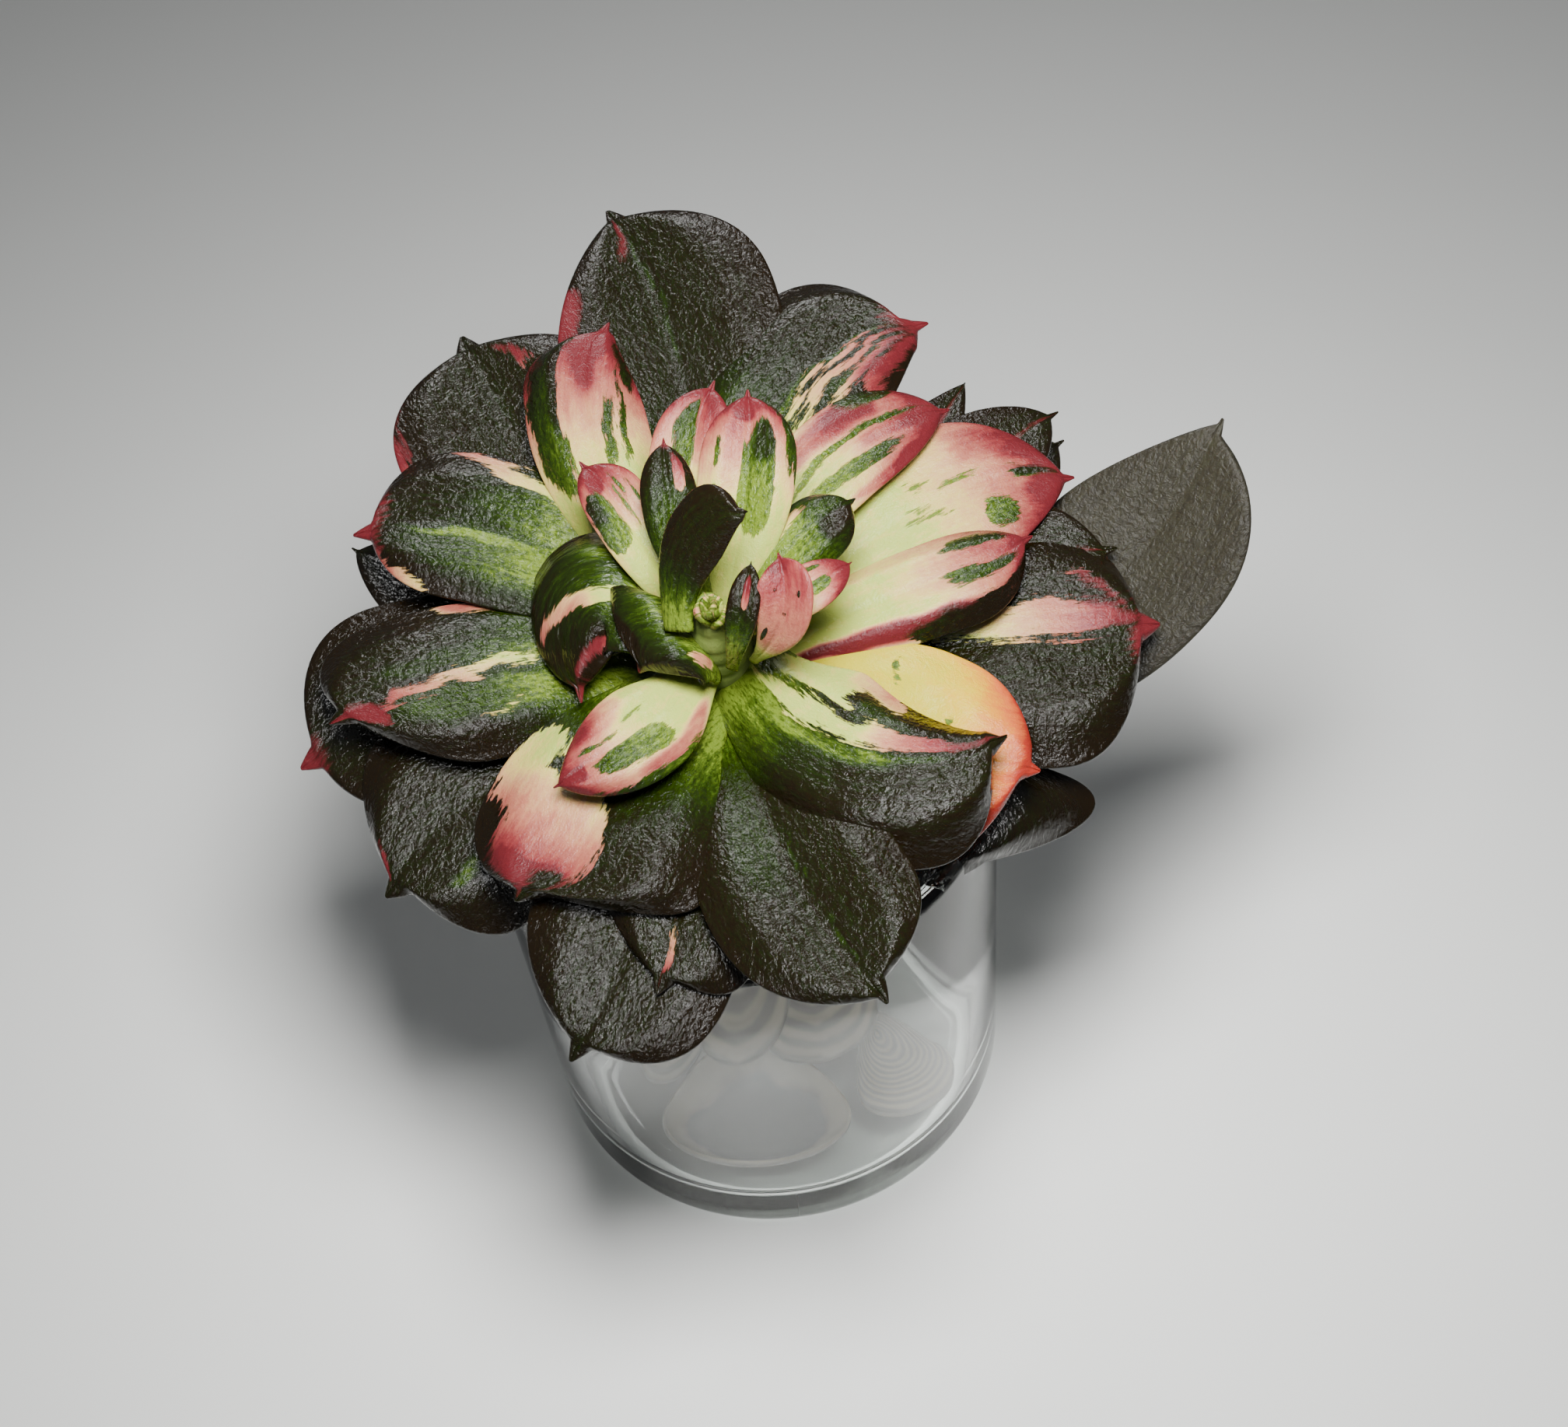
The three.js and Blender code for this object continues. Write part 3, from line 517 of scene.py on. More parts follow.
def leaf_surface(shape, t, out, above, seed=0):
    """Points of a leaf at t along it and out across it (-1 to 1), on its upper or under face.

    The midrib is root + chord t, lifted by arch and moved by sway, both times 4 t (1 - t), and moved by
    hook times a cubic that is 1 at two thirds. Across it a point lies half width times out to the side
    and skew t further, and rises by the cup, the wave, the fold, the tuck and the lens. The upper face
    also has the crease, a narrow bell about the midrib, and both faces have dimples.
    """
    thick = LEAST_THICK + THICK_FOR_WIDTH * shape["width"]
    stem_radius = np.interp(shape["stem"], STEM_PROFILE[:, 0], STEM_PROFILE[:, 1])
    root = on_axis(shape["az"] + shape["turn"], shape["root"] or ROOT_IN_STEM * stem_radius, shape["stem"])
    tip = on_axis(shape["az"], shape["reach"], shape["top"])
    length = np.linalg.norm(tip - root)
    chord = (tip - root) / length
    lift = unit(np.array([0, 0, 1.0]) - chord[2] * chord)
    roll = -np.radians(shape["roll"])
    lift = lift * np.cos(roll) + np.cross(chord, lift) * np.sin(roll)
    side = np.cross(chord, lift)

    bow = (4 * t * (1 - t))[..., None]
    slope = (4 * (1 - 2 * t))[..., None]
    late = (LATE_BEND * t * t * (1 - t))[..., None]
    late_slope = (LATE_BEND * (2 * t - 3 * t * t))[..., None]
    middle = lift * shape["arch"] + side * shape["sway"]
    hook = side * shape["hook"]
    centre = root + chord * length * t[..., None] + middle * bow + hook * late
    ahead = unit(chord * length + middle * slope + hook * late_slope)
    across = unit(side - (ahead @ side)[..., None] * ahead)
    up = np.cross(across, ahead)

    halves = [shape["width"] / 2 * half_width(
        t, shape["base"], max(LEAST_BLUNT, shape["blunt"] + way * shape["lop"]), shape["flare"],
        shape["widest"] + way * shape["early"]) for way in (1, -1)]
    half = np.where(out > 0, *halves)
    mean = (halves[0] + halves[1]) / 2
    depth = thick * (1 - TIP_THINNING * t) * np.tanh(NARROW_THINNING * mean / thick)
    top = TOP_SHARE * np.sqrt(np.clip(1 - np.abs(out) ** TOP_ROUND, 0, 1))
    under = -UNDER_SHARE * np.sqrt(np.clip(1 - np.abs(out) ** UNDER_ROUND, 0, 1))
    ripple = shape["wave"] * np.sin(2 * np.pi * RIPPLES * t) * out ** 3
    fold = shape["fold"] * (np.hypot(out, FOLD_ROUND) - FOLD_ROUND)
    tuck = shape["tuck"] * smooth(TUCK_FROM, 1, np.abs(out)) ** 1.5
    rise = half * np.sqrt(t) * (shape["cup"] * out ** 2 + ripple + fold - tuck)

    inner = 1 - np.abs(out) ** 4
    crease = -shape["crease"] * np.exp(-((out / CREASE_WIDTH) ** 2)) * smooth(*CREASE_GROWS, t) * inner
    waves = dimples(length * t, half * out, seed, DIMPLE_SIZE)
    uneven = DIMPLE_DEPTH * shape["rough"] * waves * inner * smooth(*DIMPLES_GROW, t)
    fine = np.where(above, crease + uneven, UNDER_DIMPLES * uneven)
    height = rise + depth * np.where(above, top, under) + fine
    sideways = half * out + mean * shape["skew"] * t
    points = centre + ahead * (shape["lean"] * half * out * t)[..., None]
    points = points + across * sideways[..., None] + up * height[..., None]
    return root, points, tip, length * t, half * out


# %% [markdown]
# ## The leaves: their colours
# This plant is variegated. Some tissue makes green and dark purple pigment, and some makes hardly any, so
# it shows cream, or pink where light has reddened it. The bands follow the leaf from root to tip. Each
# leaf keeps three numbers at every point: how pale the tissue is (`pale`, above 0 is pale), how red the
# pale tissue is (`ripe`), and how dark the dark tissue is (`shade`). The finish draws the fine, streaky
# edges between them.
#
# Every mark is a stroke: (t, across, half length, half width, slant, bend). Its middle line slants and
# bends across the leaf. `pale` strokes are laid on dark tissue and `dark` ones on pale. `red` and `tone`
# strokes start with an amount that they add to `ripe` and `shade`.

# %% Pattern of every leaf
LEAF_PATTERN = dict(
    whole=-1, green=(0.1, 0.55), rim=0.35, pale=(), dark=(), red=(), tone=(), ripe=(0.5, 1.05), edge_ripe=0.3,
    tip=0,
)
PATTERNS = {
    "dark_centre": dict(green=(0.05, 0.5), rim=0.25),
    "coral": dict(whole=1, red=[(0.52, 0.6, 0, 0.42, 1.8)], edge_ripe=0.1, ripe=(0.2, 1.8),
                  dark=[(0.4, -0.55, 0.07, 0.12, 1.5), (0.81, -0.3, 0.02, 0.07), (0.63, 0.05, 0.015, 0.05),
                        (0.75, 0.5, 0.02, 0.08)]),
    "dark_small": dict(green=(0.2, 0.7), pale=[(0.75, 0.1, 0.14, 0.22)], red=[(0.5, 0.76, 0.1, 0.2, 0.8)]),
    "pink_tip": dict(whole=1, green=(0.5, 1.4), ripe=(0.5, 0.95),
                     dark=[(0.73, 0.12, 0.08, 0.26), (0.71, -0.62, 0.09, 0.14)]),
    "green_right": dict(green=(0.45, 1.25), rim=0.4,
                        tone=[(0.5, 0.85, 0.35, 0.14, 0.5), (-0.3, 0.55, -0.4, 0.2, 0.2)],
                        pale=[(0.5, -0.6, 0.25, 0.12)]),
    "inner_small": dict(green=(0.3, 1.0), rim=0.4, tip=0.04, pale=[(0.81, 0.5, 0.11, 0.22)],
                        red=[(0.2, 0.81, 0.5, 0.12, 0.3)]),
    "inner_left": dict(whole=1, green=(0.5, 1.3),
                       red=[(0.6, 0.87, -0.3, 0.09, 0.4), (0.15, 0.75, 0.3, 0.2, 0.6)],
                       tone=[(0.4, 0.75, -0.75, 0.08, 0.4)],
                       dark=[(0.68, -0.58, 0.14, 0.42), (0.72, 0.2, 0.09, 0.05), (0.8, 0.35, 0.07, 0.05),
                             (0.72, 0.62, 0.07, 0.05)]),
    "inner_right": dict(whole=1, green=(0.45, 1.35),
                        tone=[(0.4, 0.78, 0.35, 0.1, 0.3), (-0.15, 0.55, 0.3, 0.1, 0.2)],
                        dark=[(0.63, 0.25, 0.24, 0.34), (0.55, -0.6, 0.04, 0.07), (0.72, -0.65, 0.05, 0.06),
                              (0.8, 0.92, 0.18, 0.1)],
                        red=[(0.6, 0.92, -0.2, 0.08, 0.4), (0.2, 0.7, -0.3, 0.2, 0.3)]),
    "inner_back": dict(whole=1, green=(0.45, 1.3), dark=[(0.74, -0.27, 0.16, 0.26)],
                       red=[(0.2, 0.8, 0.3, 0.15, 0.5)]),
    "front_lip": dict(green=(0.35, 1.05), rim=0.7, tip=0.03, tone=[(0.6, 0.97, 0.35, 0.15, 0.8)],
                      pale=[(0.37, -0.68, 0.17, 0.09)], red=[(0.5, 0.37, -0.68, 0.2, 0.2)]),
    "left_hook": dict(green=(0.25, 0.95), rim=1.0, tone=[(-0.35, 0.5, 0.7, 0.14, 0.4)], tip=0.04,
                      pale=[(0.56, -0.13, 0.29, 0.13, 0, 7), (0.86, -0.68, 0.07, 0.1, 1.5)],
                      red=[(0.35, 0.85, -0.65, 0.12, 0.2), (0.2, 0.7, -0.1, 0.1, 0.2)]),
    "small_front": dict(whole=1, green=(0.4, 1.25), edge_ripe=0.45, ripe=(0.5, 1.0),
                        dark=[(0.61, -0.27, 0.18, 0.27, 0.3), (0.62, 0.28, 0.13, 0.025, -0.2),
                              (0.8, 0.35, 0.03, 0.06), (0.56, -0.97, 0.24, 0.12)],
                        red=[(0.6, 0.42, -0.8, 0.26, 0.3), (0.3, 0.65, 0.7, 0.2, 0.35),
                             (0.6, 0.87, -0.2, 0.05, 0.35)]),
    "big_front": dict(green=(0.05, 0.45),
                      tone=[(-0.6, 0.42, 0.0, 0.3, 0.14), (-0.2, 0.35, 0.3, 0.2, 0.35),
                            (-0.3, 0.6, -0.55, 0.15, 0.2), (-0.35, 0.7, -0.08, 0.16, 0.08)],
                      pale=[(0.28, -0.7, 0.2, 0.3), (0.44, -0.92, 0.24, 0.24),
                            (0.5, -0.27, 0.42, 0.13, -0.12)],
                      dark=[(0.26, -0.46, 0.22, 0.035, -0.1), (0.56, -0.62, 0.12, 0.12, 0.2)],
                      red=[(0.3, 0.75, -0.3, 0.2, 0.25), (0.25, 0.52, -0.95, 0.15, 0.3)]),
    "cream_right": dict(whole=1, green=(0.4, 1.2),
                        dark=[(0.81, -0.6, 0.1, 0.19), (0.8, 0.15, 0.12, 0.16, 0.8),
                              (0.76, 0.86, 0.25, 0.26)],
                        tone=[(0.5, 0.72, 0.8, 0.3, 0.35)],
                        red=[(1.1, 0.45, 0.72, 0.36, 0.3), (0.15, 0.7, -0.1, 0.25, 0.5),
                             (0.15, 0.4, -0.8, 0.3, 0.3)]),
    "pink_back": dict(whole=1, green=(0.4, 1.25), ripe=(0.5, 1.0),
                      dark=[(0.8, -0.85, 0.07, 0.24), (0.66, -0.18, 0.24, 0.07, -0.25),
                            (0.64, 0.38, 0.2, 0.15, 0.9)],
                      red=[(0.6, 0.64, -0.6, 0.18, 0.4), (0.2, 0.85, 0.05, 0.15, 0.3),
                           (0.3, 0.75, 0.9, 0.2, 0.15)]),
    "striped_back": dict(whole=1, green=(0.35, 1.15), tip=0.03, ripe=(0.5, 1.0),
                         dark=[(0.76, -0.68, 0.25, 0.27, -0.25), (0.66, 0.33, 0.12, 0.09, 0.9),
                               (0.72, 0.62, 0.12, 0.05, 0.5), (0.86, 0.88, 0.08, 0.12)],
                         tone=[(0.35, 0.8, -0.4, 0.15, 0.25)],
                         red=[(0.25, 0.65, -0.6, 0.25, 0.22, -0.7), (0.25, 0.88, 0.0, 0.12, 0.3)]),
    "cream_back": dict(whole=1, green=(0.55, 1.35),
                       dark=[(0.89, -0.15, 0.06, 0.13), (0.79, 0.5, 0.06, 0.22, 1), (0.62, -0.3, 0.03, 0.035),
                             (0.71, -0.15, 0.04, 0.04), (0.6, 0, 0.03, 0.03), (0.6, 0.12, 0.04, 0.03, 1),
                             (0.53, -0.45, 0.01, 0.04)],
                       red=[(0.2, 0.8, -0.6, 0.14, 0.35), (0.2, 0.93, 0.3, 0.08, 0.5)],
                       tone=[(0.4, 0.9, -0.18, 0.08, 0.2)]),
    "left_top": dict(green=(0.3, 0.85), rim=0.45, tip=0.07,
                     tone=[(-0.3, 0.66, -0.4, 0.26, 0.45), (-0.5, 0.58, -0.14, 0.36, 0.09),
                           (-0.15, 0.5, 0.3, 0.25, 0.4)],
                     pale=[(0.57, 0.72, 0.16, 0.1, 1.3), (0.865, -0.97, 0.07, 0.1)],
                     red=[(-0.6, 0.86, -0.95, 0.12, 0.3)]),
    "left": dict(green=(0.2, 0.7), tone=[(-0.42, 0.62, -0.3, 0.27, 0.34), (-0.25, 0.6, 0.27, 0.27, 0.16)],
                 pale=[(0.68, 0.02, 0.25, 0.07, -0.55), (0.95, -0.15, 0.08, 0.3),
                       (0.6, -0.5, 0.05, 0.025, -0.6), (0.5, 0.95, 0.09, 0.12)],
                 red=[(0.45, 0.95, -0.15, 0.09, 0.4), (0.5, 0.5, 0.95, 0.1, 0.2), (0.2, 0.7, 0, 0.25, 0.2)]),
    "pink_patch": dict(green=(0.15, 0.7), red=[(0.22, 0.75, 0.4, 0.2, 0.7), (0.25, 0.93, 0.3, 0.1, 0.5)],
                       pale=[(0.76, 0.4, 0.2, 0.5), (0.53, 0.8, 0.12, 0.22)],
                       dark=[(0.915, 0.12, 0.05, 0.16), (0.8, 0.92, 0.1, 0.16)]),
    "yellow": dict(whole=1, ripe=(0.55, 1.1), edge_ripe=0.35, green=(0.5, 1.2),
                   dark=[(0.485, -0.7, 0.012, 0.08), (0.5, -0.55, 0.01, 0.05), (0.68, -0.3, 0.015, 0.05),
                         (0.66, -0.2, 0.01, 0.03)],
                   red=[(0.3, 0.6, 0.7, 0.35, 0.5)]),
    "back_right": dict(green=(0.25, 0.8), tip=0.06,
                       tone=[(-0.35, 0.75, 0.05, 0.22, 0.05), (-0.3, 0.8, 0.42, 0.13, 0.12)],
                       pale=[(0.76, 0.1, 0.22, 0.035, -0.3), (0.78, 0.27, 0.2, 0.05, -0.2),
                             (0.82, 0.47, 0.16, 0.06, -0.1), (0.87, 0.72, 0.1, 0.14, -0.1)],
                       red=[(0.25, 0.87, 0.65, 0.2, 0.3)]),
    "front_main": dict(green=(-0.05, 0.4), rim=0.15,
                       tone=[(-0.2, 0.4, 0.27, 0.28, 0.32), (-0.35, 0.72, -0.08, 0.25, 0.02)]),
    "front_mid": dict(pale=[(0.86, -0.03, 0.08, 0.04)], ripe=(0.5, 1.2)),
    "right_band": dict(green=(0.05, 0.4), tip=0.06,
                       pale=[(0.7, -0.17, 0.27, 0.15), (0.86, -0.5, 0.05, 0.03, 2, 20)],
                       red=[(0.5, 0.86, -0.45, 0.08, 0.2), (0.15, 0.76, -0.17, 0.25, 0.25)]),
    "back": dict(green=(0.15, 0.6), tone=[(-0.35, 0.77, 0.03, 0.18, 0.03)],
                 pale=[(0.925, -0.12, 0.03, 0.05), (0.79, -0.97, 0.06, 0.17)],
                 red=[(0.5, 0.91, -0.1, 0.07, 0.2), (0.6, 0.79, -0.95, 0.1, 0.3)]),
    "back_left": dict(green=(0.2, 0.65), pale=[(0.885, 0.45, 0.035, 0.05), (0.775, -1, 0.08, 0.07)],
                      red=[(0.2, 0.885, 0.45, 0.05, 0.1), (0.3, 0.775, -1, 0.1, 0.2)]),
    "low_right": dict(green=(0.3, 0.75)),
    "low_left": dict(green=(0.1, 0.6), tone=[(-0.6, 0.78, -0.45, 0.08, 0.1)], pale=[(0.94, 0.45, 0.02, 0.14)],
                     red=[(0.1, 0.92, 0.4, 0.05, 0.3)]),
    "front_low": dict(green=(0.1, 0.6)),
    "far_back": dict(pale=[(0.78, -0.05, 0.19, 0.05)], red=[(0.4, 0.8, 0, 0.3, 0.5)]),
    "right_back": dict(pale=[(0.73, 0, 0.24, 0.08)], red=[(0.5, 0.8, 0, 0.3, 0.5)]),
    "left_low": dict(green=(0.1, 0.5), tip=0.035, ripe=(0.4, 0.9)),
    "left_under": dict(green=(0.2, 0.8)),
    "right_under": dict(pale=[(0.78, 0.05, 0.18, 0.04)], red=[(0.4, 0.8, 0, 0.3, 0.5)]),
    "far_right": dict(green=(0.0, 0.4), rim=0.1),
    "far_under": dict(),
    "back_under": dict(),
}
EDGE_SCALE = 5.0
WIDEST_EDGE = 0.5
TIP_EDGE = 20
SOFT_EDGE = 0.6
MARGIN_RIPENS = (0.3, 0.8)
TIP_RIPENS = (0.88, 0.98)
TIP_RIPE = 0.5
DARK_BODY = 0.82
RIM_DARKENS = (0.1, 0.5)
MOST = 1.2


def stroke(t, out, at, across, long, wide, slant=0, bend=0):
    """1 along the middle of a stroke, 0 on its edge and negative outside."""
    off = t - at
    middle = across + slant * off + bend * off ** 2
    return 1 - np.hypot((off / long) ** 2, (out - middle) / wide)


def edged(t, out, place):
    """A stroke in like units for all: how far inside its edge a point is."""
    return stroke(t, out, *place) * min(place[3], WIDEST_EDGE) * EDGE_SCALE


def with_strokes(value, t, out, strokes):
    """A value to which each stroke adds its amount, faded in from the stroke's edge."""
    for amount, *place in strokes:
        value = value + amount * smooth(0, SOFT_EDGE, stroke(t, out, *place))
    return value


def leaf_pattern(pattern, t, out):
    """The three numbers of the pattern at each point: pale, ripe and shade.

    ripe grows from root to tip, with the fourth power of out at the margins, and once more at the very
    tip. shade goes from green to dark from root to tip, and with the third power of out at the rim.
    """
    pale = np.full_like(t, pattern["whole"])
    if pattern["tip"]:
        pale = np.maximum(pale, (t - 1 + pattern["tip"]) * TIP_EDGE)
    for place in pattern["pale"]:
        pale = np.maximum(pale, edged(t, out, place))
    for place in pattern["dark"]:
        pale = np.minimum(pale, -edged(t, out, place))
    margin = pattern["edge_ripe"] * np.abs(out) ** 4 * smooth(*MARGIN_RIPENS, t)
    ripe = smooth(*pattern["ripe"], t) + margin
    ripe = ripe + TIP_RIPE * smooth(*TIP_RIPENS, t)
    ripe = with_strokes(ripe, t, out, pattern["red"])
    rim = pattern["rim"] * np.abs(out) ** 3 * smooth(*RIM_DARKENS, t)
    shade = DARK_BODY * smooth(*pattern["green"], t) + rim
    shade = with_strokes(shade, t, out, pattern["tone"])
    return np.clip(pale, -1, 1), np.clip(ripe, 0, MOST), np.clip(shade, 0, MOST)


# %% [markdown]
# ## The leaves: their finish
# A leaf's skin is waxy, with shallow leathery folds and fine pebbles, so that highlights break up. Pale
# tissue is smoother. The colours come from two ramps, one for the dark tissue and one for the pale. Noise
# that is stretched along the leaf shifts the line between them, which gives the streaks. Where the pale
# tissue is ripe the line is soft, as crimson fades into brown.

# %% Leaf finish
DARK_RAMP = [
    (0.0, 0.085, 0.125, 0.012), (0.13, 0.036, 0.06, 0.005), (0.28, 0.016, 0.031, 0.0022),
    (0.45, 0.0078, 0.016, 0.001), (0.66, 0.0051, 0.0078, 0.0009), (0.82, 0.0052, 0.005, 0.001),
    (1.0, 0.0053, 0.003, 0.0009),
]
PALE_RAMP = [
    (0.0, 0.27, 0.32, 0.06), (0.16, 0.4, 0.31, 0.085), (0.36, 0.36, 0.2, 0.09), (0.56, 0.28, 0.1, 0.06),
    (0.74, 0.2, 0.05, 0.038), (0.88, 0.14, 0.02, 0.021), (1.0, 0.08, 0.0085, 0.011),
]
YELLOW_RAMP = [
    (0.0, 0.34, 0.29, 0.012), (0.25, 0.42, 0.27, 0.008), (0.5, 0.42, 0.16, 0.012), (0.75, 0.37, 0.08, 0.02),
    (1.0, 0.2, 0.017, 0.01),
]
GREY_RAMP = [
    (0.0, 0.04, 0.05, 0.016), (0.4, 0.024, 0.025, 0.013), (0.75, 0.02, 0.018, 0.011),
    (1.0, 0.014, 0.012, 0.008),
]
# How often each noise repeats in a millimetre, along the leaf and across it, and 1 to set leaves apart
STREAKS = (0.14, 1.7, 1)
BLOTCHES = (0.7, 0.9, 1)
MOTTLES = (1.4, 3.4, 1)
FOLDS = (1.3, 1.3, 1)
PEBBLES = (2.6, 3.2, 1)
GRAINS = (6, 7, 1)
# How high each relief stands where its noise is 1, in millimetres
FOLD_RELIEF = 0.16
PEBBLE_RELIEF = -0.05
GRAIN_RELIEF = 0.035
# By what share pale tissue is flatter and ripe edges are softer, and how rough the skin is
PALE_FLATTER = 0.6
RIPE_SOFTER = 0.75
SATIN = 0.19


def leaf_finish(name, dark=DARK_RAMP, pale_stops=PALE_RAMP, matt=0.0):
    """Skin of a leaf. It reads pale, ripe and shade, and skin: millimetres along and across the leaf.

    Each of the three is shifted by a weighed sum of noises, which are centred on nought.
    """
    finish = Finish(name)
    skin = finish.attribute("skin", "Vector")
    streak = finish.noise(finish.scaled(skin, STREAKS), detail=4, rough=0.7)
    blotch = finish.noise(finish.scaled(skin, BLOTCHES), detail=2)
    mottle = finish.noise(finish.scaled(skin, MOTTLES), detail=3, rough=0.7)
    line = finish.attribute("pale") + (streak - 0.5) * 1.7 + (blotch - 0.5) * 0.4 + (mottle - 0.5) * 0.7
    shade = finish.attribute("shade") + (mottle - 0.5) * 1.0 + (streak - 0.5) * 0.6
    ripe = finish.attribute("ripe") + (blotch - 0.5) * 0.3 + (mottle - 0.5) * 0.3 + (streak - 0.5) * 0.35
    sharpness = 1 - RIPE_SOFTER * finish.between(ripe, 0.6, 1.1)
    is_pale = finish.between(line * sharpness, -0.1, 0.1)
    tissue = finish.blend(is_pale, finish.ramp(shade, dark), finish.ramp(ripe, pale_stops))

    fold = finish.noise(finish.scaled(skin, FOLDS), detail=2, rough=0.6, bend=0.8)
    pebble = finish.node("TexVoronoi", {"feature": "SMOOTH_F1"}, {
        "Vector": finish.scaled(skin, PEBBLES), "Scale": 1.0, "Smoothness": 0.8})
    grain = finish.noise(finish.scaled(skin, GRAINS), detail=2)
    flat = 1 - PALE_FLATTER * is_pale
    height = fold * flat * FOLD_RELIEF + pebble * flat * PEBBLE_RELIEF + grain * GRAIN_RELIEF
    bump = finish.node("Bump", None, {"Height": height, "Strength": 1.0, "Distance": MM})
    rough = SATIN + matt + (blotch - 0.5) * 0.2 + is_pale * 0.07
    return finish.surface(
        Base_Color=tissue, Roughness=rough, Normal=bump, Specular_IOR_Level=0.5, Subsurface_Weight=0.08,
        Subsurface_Radius=(1, 0.5, 0.3), Subsurface_Scale=0.0008,
    )


LEAF_FINISHES = {
    "dark": leaf_finish("dark_leaf"), "green": leaf_finish("green_leaf"), "cream": leaf_finish("cream_leaf"),
    "pink": leaf_finish("pink_leaf"), "yellow": leaf_finish("yellow_leaf", pale_stops=YELLOW_RAMP),
    "grey": leaf_finish("grey_leaf", dark=GREY_RAMP, matt=0.18),
}

# %% Make the leaves
ALONG_WARP = dict(amount=0.04, offset=100, size=6)
ACROSS_WARP = dict(amount=0.1, offset=200, size=5)
SKIN_APART = 17.0
LEAF_GRIDS = ((12.5, (100, 76, 34)), (6, (76, 52, 26)), (0, (54, 36, 20)))
SLOTS = {part["node"]: part["material_slot"] for part in frame["record"]["subparts"]}


def leaf_grid(width):
    """How many stations, and points over and under, a leaf of this width gets."""
    return next(grid for least, grid in LEAF_GRIDS if width > least)


def warp(far, wide, seed, amount, offset, size):
    """How far the marks are pushed about at each point, so that their edges waver."""
    return amount * dimples(far, wide, seed + offset, size)


def leaf_mesh(name, shape, pattern, seed):
    """A leaf's closed mesh. Its stations crowd towards the tip, and the seed sets its dimples."""
    stations, over, below = leaf_grid(shape["width"])
    share = np.linspace(0, 1, stations + 1)[:-1]
    along = 1 - (1 - share) ** TIP_CROWDING
    angle = np.concatenate([np.linspace(0, np.pi, over, endpoint=False),
                            np.linspace(np.pi, 2 * np.pi, below, endpoint=False)])
    t, turned = np.meshgrid(along, angle, indexing="ij")
    out = np.cos(turned)
    root, points, tip, far, wide = leaf_surface(shape, t, out, np.sin(turned) >= 0, seed)
    marks_t = t + warp(far, wide, seed, **ALONG_WARP)
    marks_out = out + warp(far, wide, seed, **ACROSS_WARP)
    pale, ripe, shade = leaf_pattern(pattern, marks_t, marks_out)
    skin = np.stack([far, wide, np.full_like(far, SKIN_APART * seed)], -1)
    return closed_mesh(name, leant(root), leant(points), leant(tip), pale=pale, ripe=ripe, shade=shade,
                       skin=skin)


triangles = 0
for seed, (name, given) in enumerate(LEAVES.items(), 1):
    shape = {**LEAF_SHAPE, **given}
    pattern = {**LEAF_PATTERN, **PATTERNS[name]}
    node = "leaf_" + name
    slot = SLOTS[node]
    mesh = leaf_mesh("fine_" + name, shape, pattern, seed)
    stand_in(mesh, node, LEAF_FINISHES[slot.split("_")[0]])
    triangles += sum(len(face.vertices) - 2 for face in mesh.polygons)
print("leaves:", triangles, "triangles")

# %% [markdown]
# ## The heart
# The youngest leaves stand round the growing point, each a golden angle on from the last. They are pale
# yellow-green, and so small that one mesh holds them.

# %% Heart leaves
HEART_LEAVES = 7
HEART_SEED = 60
GOLDEN_ANGLE = 137.5
HEART_FIRST = dict(reach=0.5, top=24.5, stem=20, width=1.6)
HEART_STEP = dict(reach=0.22, top=-0.35, stem=-0.15, width=0.12)


def heart_leaf(k):
    """The leaf k of the heart: the first one's measures plus k steps, a golden angle on each time."""
    measures = {name: first + HEART_STEP[name] * k for name, first in HEART_FIRST.items()}
    shape = {**LEAF_SHAPE, **measures, "az": GOLDEN_ANGLE * k, "root": 0.4, "arch": 0.4, "base": 0.7,
             "crease": 0.02, "rough": 0.1}
    pattern = {**LEAF_PATTERN, "whole": -0.05, "green": (0.3, 3.0), "rim": 0.0, "ripe": (2, 3),
               "edge_ripe": 0.0}
    return leaf_mesh(f"heart_{k}", shape, pattern, HEART_SEED + k)


def joined(name, meshes):
    """One mesh that holds several, which stay as they are: their points and faces, one after another."""
    objects = [bpy.data.objects.new(mesh.name, mesh) for mesh in meshes]
    for item in objects:
        bpy.context.collection.objects.link(item)
    with bpy.context.temp_override(active_object=objects[0], selected_editable_objects=objects):
        bpy.ops.object.join()
    mesh = objects[0].data
    bpy.data.objects.remove(objects[0])
    mesh.name = name
    return mesh


heart = joined("fine_heart", [heart_leaf(k) for k in range(HEART_LEAVES)])
stand_in(heart, "heart_leaves", LEAF_FINISHES["green"])
print("heart:", HEART_LEAVES, "leaves,", len(heart.vertices), "points")

# %% [markdown]
# ## The stem
# The stem is short and fleshy, ringed by the scars of the leaves that it has shed. It runs down the
# rosette's axis and bends upright into the tumbler. It is brown and mottled where it is old, and green at
# the young end among the leaves.

# %% Stem
STEM_BEND = 7.0
STEM_RINGS = 120
STEM_SIDES = 64
SCAR_PITCH = 1.9
SCAR_SLANT = 0.8
SCAR_DEPTH = 0.18
YOUNG_HEIGHT = (4, 15)
BARK_MOTTLES = (900, 900, 500)
BARK_RELIEF = 0.15


